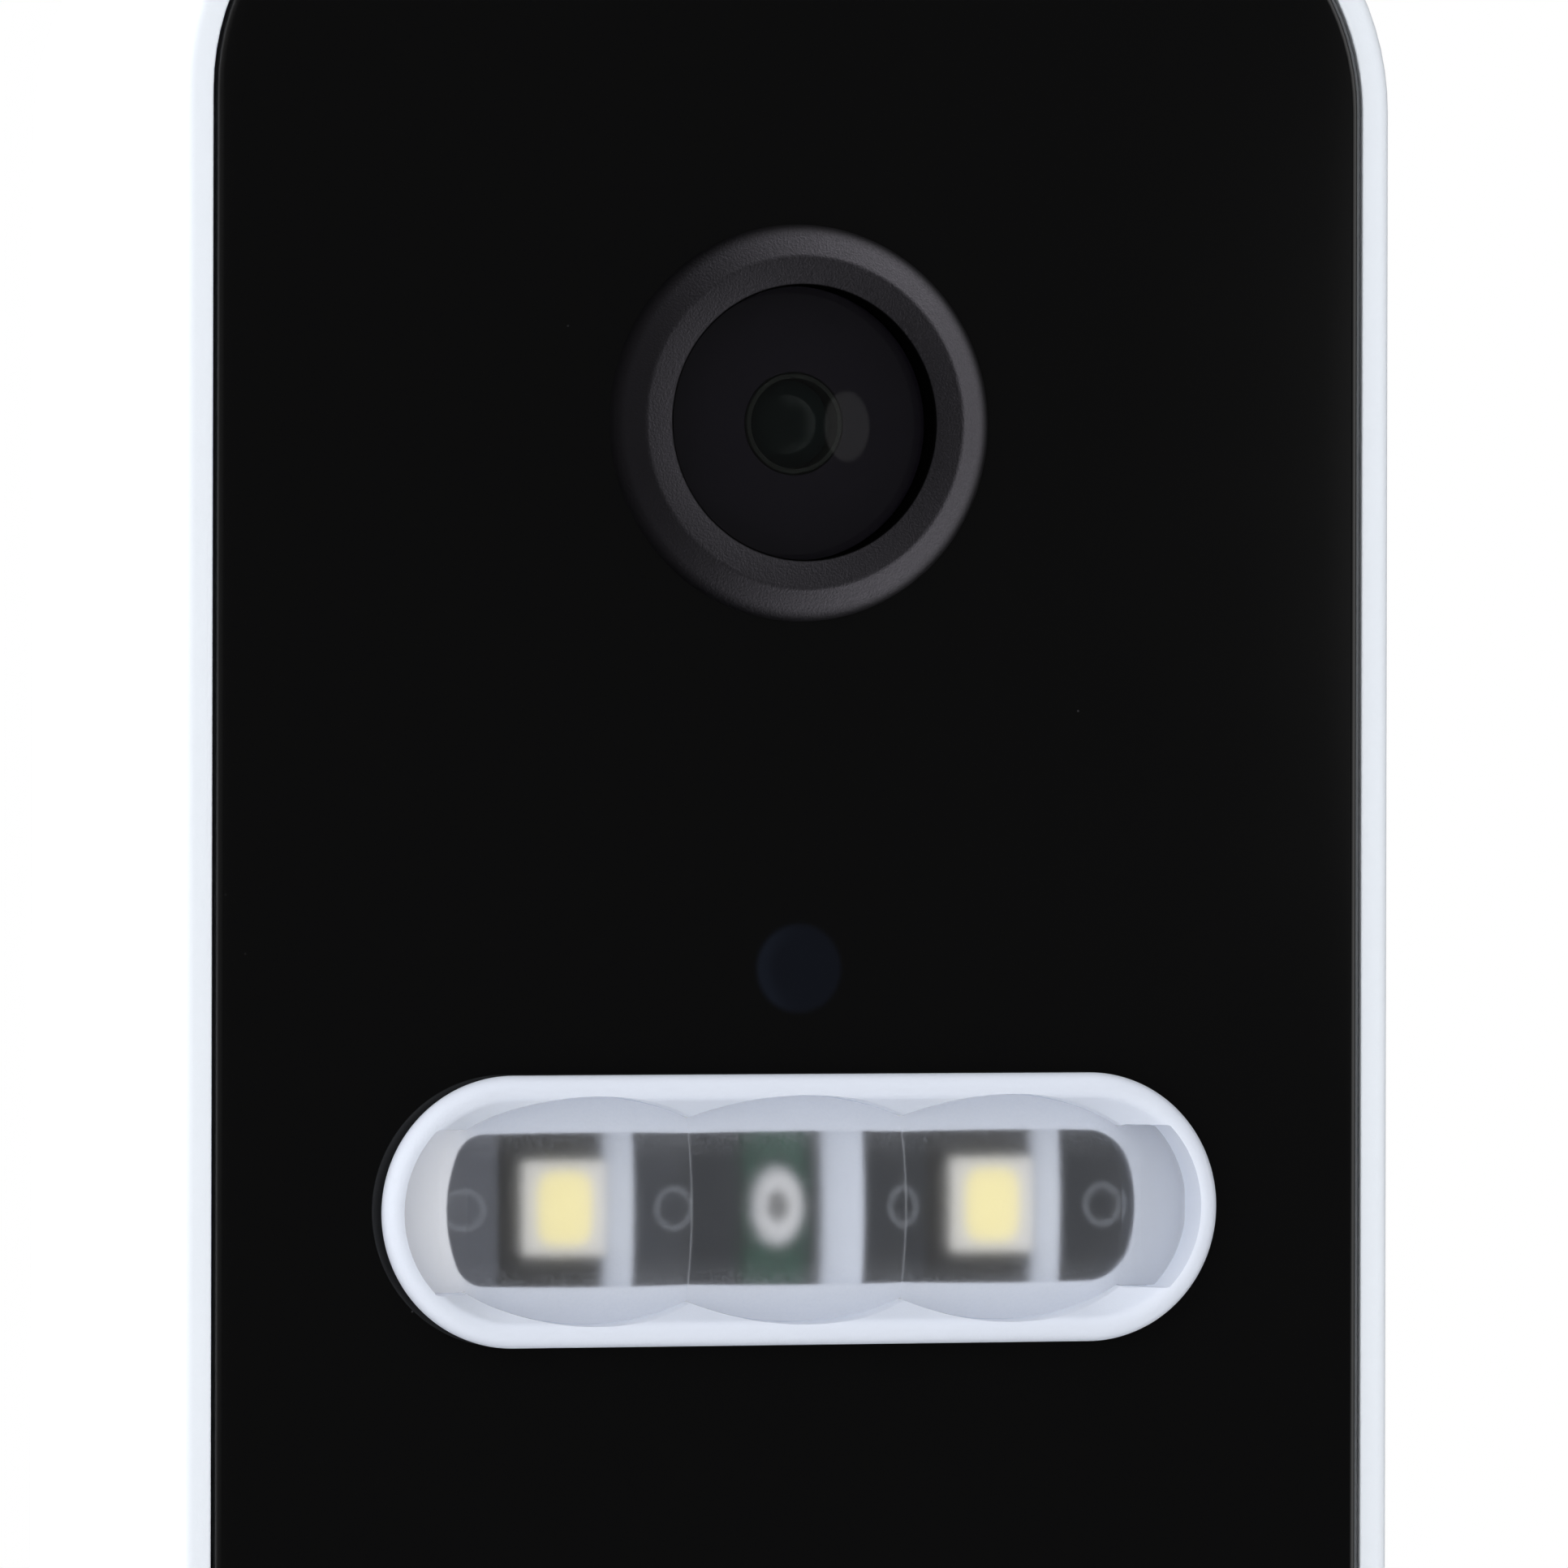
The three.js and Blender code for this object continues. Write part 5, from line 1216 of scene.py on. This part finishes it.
class DOORBELL_OT_light(Operator):
    """Makes the light: its white frame, clear lens, reflector, baffle, lamps and board."""

    bl_idname = "doorbell.light"
    bl_label = "Light"

    def execute(self, context):
        look = context.scene.doorbell.light
        self.frame(look)
        self.lens()
        self.reflector(look)
        self.baffle()
        self.lamps(look)
        return {"FINISHED"}

    def frame(self, look):
        """The frame's front, its outer wall and its flange behind the deck."""
        ring = skin("light_frame", light_frame_surface(look.crest / MM))
        flange = pill("flange", LIGHT.width, LIGHT.height, LIGHT.back + FLANGE_RISE, DECK_BACK)
        carve(ring, flange, operation="UNION")
        carve(ring, pill("bore", BORE_W, BORE_H, LIGHT.back - CUT, OPTIC.back + 0.02))
        placed(ring, "doorbell", "light_white", white_frame(look.frame), "light_bezel", crisp=45)

    def lens(self):
        """The clear lens: a plate whose front rises in three ovals and whose back is flat.

        The front's depth is base + rise times the ovals' share, cut off past their end, where
        it slopes down to the base.
        """
        x = opening_columns()
        height = opening_height(x, LENS_GAP)
        x = np.clip(x, LENS_GAP - OPENING_END, OPENING_END - LENS_GAP)
        z = np.sin(np.linspace(-np.pi / 2, np.pi / 2, 49))[:, None] * height[None]
        across = np.broadcast_to(x, z.shape)
        slope = np.clip((FACET_END - np.abs(across)) / (FACET_END - DOMES_END), 0, 1)
        share = np.maximum(dome_share(np.clip(across, -DOMES_END, DOMES_END), z), 0.0)
        depth = OPTIC.front - OPTIC_RISE + OPTIC_RISE * share * slope
        front = np.stack([across, depth, z + LIGHT.z], axis=-1)
        back = np.stack([across, np.full_like(z, OPTIC.back), z + LIGHT.z], axis=-1)
        points = np.concatenate([front, back[::-1]])
        lens = skin("light_clear_lens", points, wrap_rows=True, wrap_columns=False)
        placed(lens, "doorbell", "clear_plastic", clear_lens(), "light_lens", crisp=14)

    def reflector(self, look):
        """The white reflector plate with its slot and the ribs that wall its pockets."""
        plate = pill(
            "light_reflector_fine", BORE_W - CRISP, BORE_H - CRISP, REFLECTOR.back,
            OPTIC.back - 0.01,
        )
        z = np.sin(np.linspace(-np.pi / 2, np.pi / 2, 41)) * SLOT_HALF
        right = np.stack([slot_reach(z, SLOT_CORNERS[1]) + 0.3, z], axis=-1)
        left = -np.stack([slot_reach(z, SLOT_CORNERS[0]), z], axis=-1)
        outline = np.concatenate([right, left]) + [0.0, LIGHT.z]
        carve(plate, prism("slot", outline, REFLECTOR.back - CUT, OPTIC.back + CUT))
        ribs = []
        for mouth, foot in RIBS:
            outside = mouth + math.copysign(RIB_T, mouth - foot)
            section = [
                (foot, REFLECTOR.back), (mouth, RIB_TOP), (outside, RIB_TOP),
                (outside, REFLECTOR.back),
            ]
            low, high = LIGHT.z - SLOT_HALF - 0.1, LIGHT.z + SLOT_HALF + 0.1
            ribs.append(prism("rib", section, low, high, upright=True))
        carve(plate, *ribs, operation="UNION")
        placed(plate, "doorbell", "light_white", white_reflector(look.frame), "light_reflector")

    def baffle(self):
        """The dark sheet on the board, with raised strips between the pockets and small posts."""
        back, front = LIGHT_BOARD.front, REFLECTOR.back
        sheet = pill("light_baffle_fine", SHEET_W, SHEET_H, back, front - 0.01)
        half = LAMP_W / 2 + 0.08
        lows = [(-LAMP_X - half, -LAMP_X + half), (LAMP_X - half, LAMP_X + half)]
        holes = [block("hole", *sides, back - CUT, front + CUT, half, 0.1) for sides in lows]
        wide, tall = RING_LAMP_HALF
        holes.append(block("hole", -wide, wide, back - CUT, front + CUT, tall, 0.2))
        carve(sheet, *holes)
        half = SLOT_HALF - 0.05
        strips = [block("strip", *sides, back + 0.1, STRIP_TOP, half, CRISP) for sides in STRIPS]
        carve(sheet, *strips, operation="UNION")
        posts = [
            turned("post", [
                (0, STRIP_TOP - 0.1), (POST_R, STRIP_TOP - 0.1), (POST_R, STRIP_TOP + 0.14, CRISP),
                (POST_BORE_R, STRIP_TOP + 0.14, CRISP), (POST_BORE_R, STRIP_TOP + 0.06),
                (0, STRIP_TOP + 0.06),
            ], x, LIGHT.z, SMALL_SIDES)
            for x in (-POSTS[1], -POSTS[0], *POSTS)
        ]
        carve(sheet, *posts, operation="UNION")
        placed(sheet, "doorbell", "dark_plastic", slot_grey(), "light_baffle")

    def lamps(self, look):
        """Two white lamps with yellow faces, the ringed infrared lamp and the board under them."""
        base = LIGHT_BOARD.front
        board = pill("light_board_fine", SHEET_W, SHEET_H, LIGHT_BOARD.back, base)
        placed(board, "doorbell", "board_green", solder_mask(look.board), "light_board")
        top, corner = base + LAMP_T, 0.15
        package = [(corner, base), (0, base, 0.06), (0, top, 0.06), (corner, top)]
        shape = rounded_rectangle(LAMP_W, LAMP_W, corner)
        for side, x in (("left", -LAMP_X), ("right", LAMP_X)):
            lamp = carried(f"lamp_{side}", package, shape, x, LIGHT.z)
            placed(lamp, "doorbell", "led_white", lamp_body(look.phosphor), f"led_{side}")
        ring = turned("lamp_infrared", [
            (0, base), (1.1, base, CRISP), (1.1, base + 0.5, 0.25), (0.8, top, 0.2),
            (0.42, base + 0.5, SOFT), (0.3, base + 0.2, SOFT), (0, base + 0.18),
        ], 0.0, LIGHT.z, SMALL_SIDES, tall=1.3)
        placed(ring, "doorbell", "led_white", lamp_ring(), "infrared_led")


# ---------------------------------------------------------------- button


class DOORBELL_OT_button(Operator):
    """Makes the dished button cap and the milky ring round it."""

    bl_idname = "doorbell.button"
    bl_label = "Button"

    def execute(self, context):
        look = context.scene.doorbell.button
        x, z = CAP.x, CAP.z
        flange = CAP_R + CAP_FLANGE
        face = dome(CAP_R - CAP_EDGE, CAP.front, -look.dish / MM, 33)[::-1]
        cap = turned("button_face", [
            *face, (CAP_R, CAP.front - CAP_EDGE, 0.3), (CAP_R, CAP.back + CAP_FLANGE_T),
            (flange, CAP.back + CAP_FLANGE_T, SOFT), (flange, CAP.back, SOFT), (0, CAP.back),
        ], x, z)
        placed(cap, "button", "satin_black", satin_button(look.cap), "button_cap")
        inner, flange = CAP_R + GAP, RING_R + RING_FLANGE
        step, low = inner + CAP_FLANGE, DECK_BACK - RING_FLANGE_T
        ring = turned("button_light_ring", [
            (inner, RING.front, 0.25), (RING_R, RING.front, 0.35), (RING_R, DECK_BACK),
            (flange, DECK_BACK, SOFT), (flange, low, SOFT), (RING_R, low),
            (RING_R, RING.back, SOFT), (step, RING.back, SOFT),
            (step, PANEL.front - RING_DEEP), (inner, PANEL.front - RING_DEEP, SOFT),
        ], x, z, loop=True)
        placed(ring, "doorbell", "clear_plastic", milky_ring(look.ring), "button_ring")
        return {"FINISHED"}


# ---------------------------------------------------------------- back and what stays as packed


class DOORBELL_OT_back(Operator):
    """Makes the rear cover, its gasket and the wall bracket."""

    bl_idname = "doorbell.back"
    bl_label = "Back"

    def execute(self, context):
        white = white_shell(context.scene.doorbell.housing.shell)
        cover = refined("rear_shell", "rear_cover", 0.12)
        placed(cover, "doorbell", "white_plastic", white, "rear_cover")
        inset = (HOUSING.width - GASKET.width) / 2
        band = carried("seam_gasket", [
            (inset, GASKET.back, CRISP), (inset, GASKET.front, CRISP), (WALL, GASKET.front),
            (WALL, GASKET.back),
        ], body_outline(), loop=True)
        placed(band, "doorbell", "white_rubber", white_rubber(), "cover_gasket")
        bracket = refined("bracket_plate", "wall_bracket", 0.15)
        placed(bracket, "bracket", "bracket_plastic", bracket_plastic(), "wall_bracket")
        return {"FINISHED"}


CARRIED = (
    (brass, "wifi_antenna terminal_plate_left terminal_plate_right"),
    (cell_sleeve, "battery_pack"),
    (chip_plastic, "image_sensor light_sensor speaker"),
    (cover_glass, "sensor_pipe"),
    (dark_plastic, "lens_holder button_plunger tamper_plunger"),
    (foam, "panel_tape battery_pad"),
    (lamp_ring, "ring_led_left ring_led_right"),
    (pale_plastic, "light_connector battery_connector"),
    (plated_steel, "button_switch reset_switch tamper_switch microphone shield_can usb_port"),
    (plated_steel, "cover_screw_1 cover_screw_2 cover_screw_3 cover_screw_4 security_screw"),
    (plated_steel, "board_screw_1 board_screw_2 terminal_screw_left terminal_screw_right"),
    (rubber, "lens_seal button_pad microphone_seal reset_button usb_flap"),
    (speaker_cloth, "speaker_mesh"),
)


class DOORBELL_OT_inside(Operator):
    """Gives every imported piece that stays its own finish."""

    bl_idname = "doorbell.inside"
    bl_label = "Inside"

    def execute(self, context):
        board = solder_mask(context.scene.doorbell.light.board)
        finished = [("main_board", board)]
        finished += [(node, make()) for make, nodes in CARRIED for node in nodes.split()]
        for node, material in finished:
            materials = frame["nodes"][node].data.materials
            materials.clear()
            materials.append(material)
        return {"FINISHED"}


# ---------------------------------------------------------------- stage


class DOORBELL_OT_stage(Operator):
    """Makes the pale floor, the soft light all round and the camera."""

    bl_idname = "doorbell.stage"
    bl_label = "Stage"

    def execute(self, context):
        look = context.scene.doorbell.stage
        self.floor(look.floor / MM)
        self.surroundings(context.scene)
        self.camera(context.scene, look)
        return {"FINISHED"}

    def floor(self, reach):
        """A flat disc of a radius under the doorbell: (r cos a, r sin a) at one height."""
        radius = np.linspace(0, reach, 24)[:, None]
        angle = np.linspace(0, 2 * np.pi, 96, endpoint=False)
        across = radius * np.cos(angle)
        height = np.full_like(across, HOUSING.foot - 0.05)
        disc = skin("floor", np.stack([across, radius * np.sin(angle), height], axis=-1), caps=False)
        disc.data.materials.append(pale_floor(reach))

    def surroundings(self, scene):
        """Soft light as a function of direction, behind a plain white backdrop.

        A turn is in degrees from the front towards the right, a height from level. Matte pieces
        are lit by one sum of soft areas, and glossy ones mirror another.
        """
        world = bpy.data.worlds.new("studio")
        world.use_nodes = True
        world.cycles.sampling_method = "NONE"
        scene.world = world
        graph = Graph(world.node_tree)
        x, y, z = graph.parts(graph.node("ShaderNodeTexCoord", output="Generated"))
        degrees = 180 / math.pi
        side = graph.math("ARCTAN2", x, -y) * degrees
        height = graph.math("ARCSINE", z) * degrees

        soft = (
            graph.fall(side, -8.0, 38.0) * 1.37 + graph.fall(side, -115.0, -80.0) * 0.55
            + graph.smooth(side, 95.0, 120.0) * 0.9 + graph.smooth(height, 20.0, 80.0) * 0.45 + 0.1
        )

        right = graph.smooth(side, 30.0, 66.0) * graph.fall(side, 70.0, 102.0)
        right = right * graph.fall(abs(height), 48.0, 70.0) * 1.2
        left = graph.fall(side, -105.0, -68.0) * 0.9
        facing = graph.smooth(side, -15.0, 32.0)
        above = graph.smooth(height, 18.0, 50.0) * facing * 0.9
        below = graph.smooth(-height, 18.0, 50.0) * facing * 0.75
        wide, tall = (side - 23.1) / 2.6, (height - 1.5) / 3.6
        glint = graph.fall(wide * wide + tall * tall, 0.8, 1.15) * 0.26
        mirrored = right + left + above + below + glint + 0.04

        mirror = graph.ray("Glossy") * (1.0 - graph.ray("Transmission"))
        total = soft + mirror * (mirrored - soft)
        white = (1.0, 1.0, 1.0)
        light = graph.node("ShaderNodeBackground", None, {"Color": white, "Strength": total})
        plain = graph.plain("Background", white)
        graph.output(graph.blend(graph.ray("Camera"), light, plain), "World")

    def camera(self, scene, look):
        """The camera, set back from its aim along its azimuth and elevation, then rolled."""
        side, rise, roll = look.azimuth, look.elevation, look.roll
        back = Vector((
            math.sin(side) * math.cos(rise), -math.cos(side) * math.cos(rise), math.sin(rise)
        ))
        right = Vector((math.cos(side), math.sin(side), 0.0))
        up = back.cross(right)
        across = right * math.cos(roll) + up * math.sin(roll)
        upward = up * math.cos(roll) - right * math.sin(roll)
        place = Vector(look.aim) + back * look.distance
        data = bpy.data.cameras.new("camera")
        data.lens = look.lens
        data.sensor_width = 36.0
        data.clip_start = 0.01
        data.clip_end = 20.0
        camera = bpy.data.objects.new("camera", data)
        turned_ = Matrix((across, upward, back)).transposed()
        camera.matrix_world = Matrix.Translation(place) @ turned_.to_4x4()
        scene.collection.objects.link(camera)
        scene.camera = camera
        scene.view_settings.view_transform = "Standard"


# ---------------------------------------------------------------- add-on


class DOORBELL_PT_builder(Panel):
    """The doorbell's sizes, colours and building steps."""

    bl_label = "Doorbell"
    bl_space_type = "VIEW_3D"
    bl_region_type = "UI"
    bl_category = "Doorbell"

    def draw(self, context):
        settings = context.scene.doorbell
        for name in ("housing", "lens", "light", "button", "stage"):
            box = self.layout.box()
            box.label(text=name.capitalize())
            group = getattr(settings, name)
            for key in group.bl_rna.properties.keys():
                if key not in ("rna_type", "name"):
                    box.prop(group, key)
        for step in STEPS:
            self.layout.operator(step.bl_idname)


SETTINGS = (
    HousingSettings, LensSettings, LightSettings, ButtonSettings, StageSettings, DoorbellSettings
)
STEPS = (
    DOORBELL_OT_housing, DOORBELL_OT_panel, DOORBELL_OT_camera_eye, DOORBELL_OT_light_sensor,
    DOORBELL_OT_light, DOORBELL_OT_button, DOORBELL_OT_back, DOORBELL_OT_inside,
    DOORBELL_OT_stage,
)
CLASSES = SETTINGS + STEPS + (DOORBELL_PT_builder,)


def register():
    """Registers the classes and puts the settings on the scene."""
    for each in CLASSES:
        bpy.utils.register_class(each)
    bpy.types.Scene.doorbell = PointerProperty(type=DoorbellSettings)


def unregister():
    """Takes the settings and the classes away again."""
    del bpy.types.Scene.doorbell
    for each in reversed(CLASSES):
        bpy.utils.unregister_class(each)


def main():
    """Builds the doorbell and its stage."""
    register()
    bpy.ops.doorbell.housing()
    bpy.ops.doorbell.panel()
    bpy.ops.doorbell.camera_eye()
    bpy.ops.doorbell.light_sensor()
    bpy.ops.doorbell.light()
    bpy.ops.doorbell.button()
    bpy.ops.doorbell.back()
    bpy.ops.doorbell.inside()
    bpy.ops.doorbell.stage()


if __name__ == "__main__":
    main()
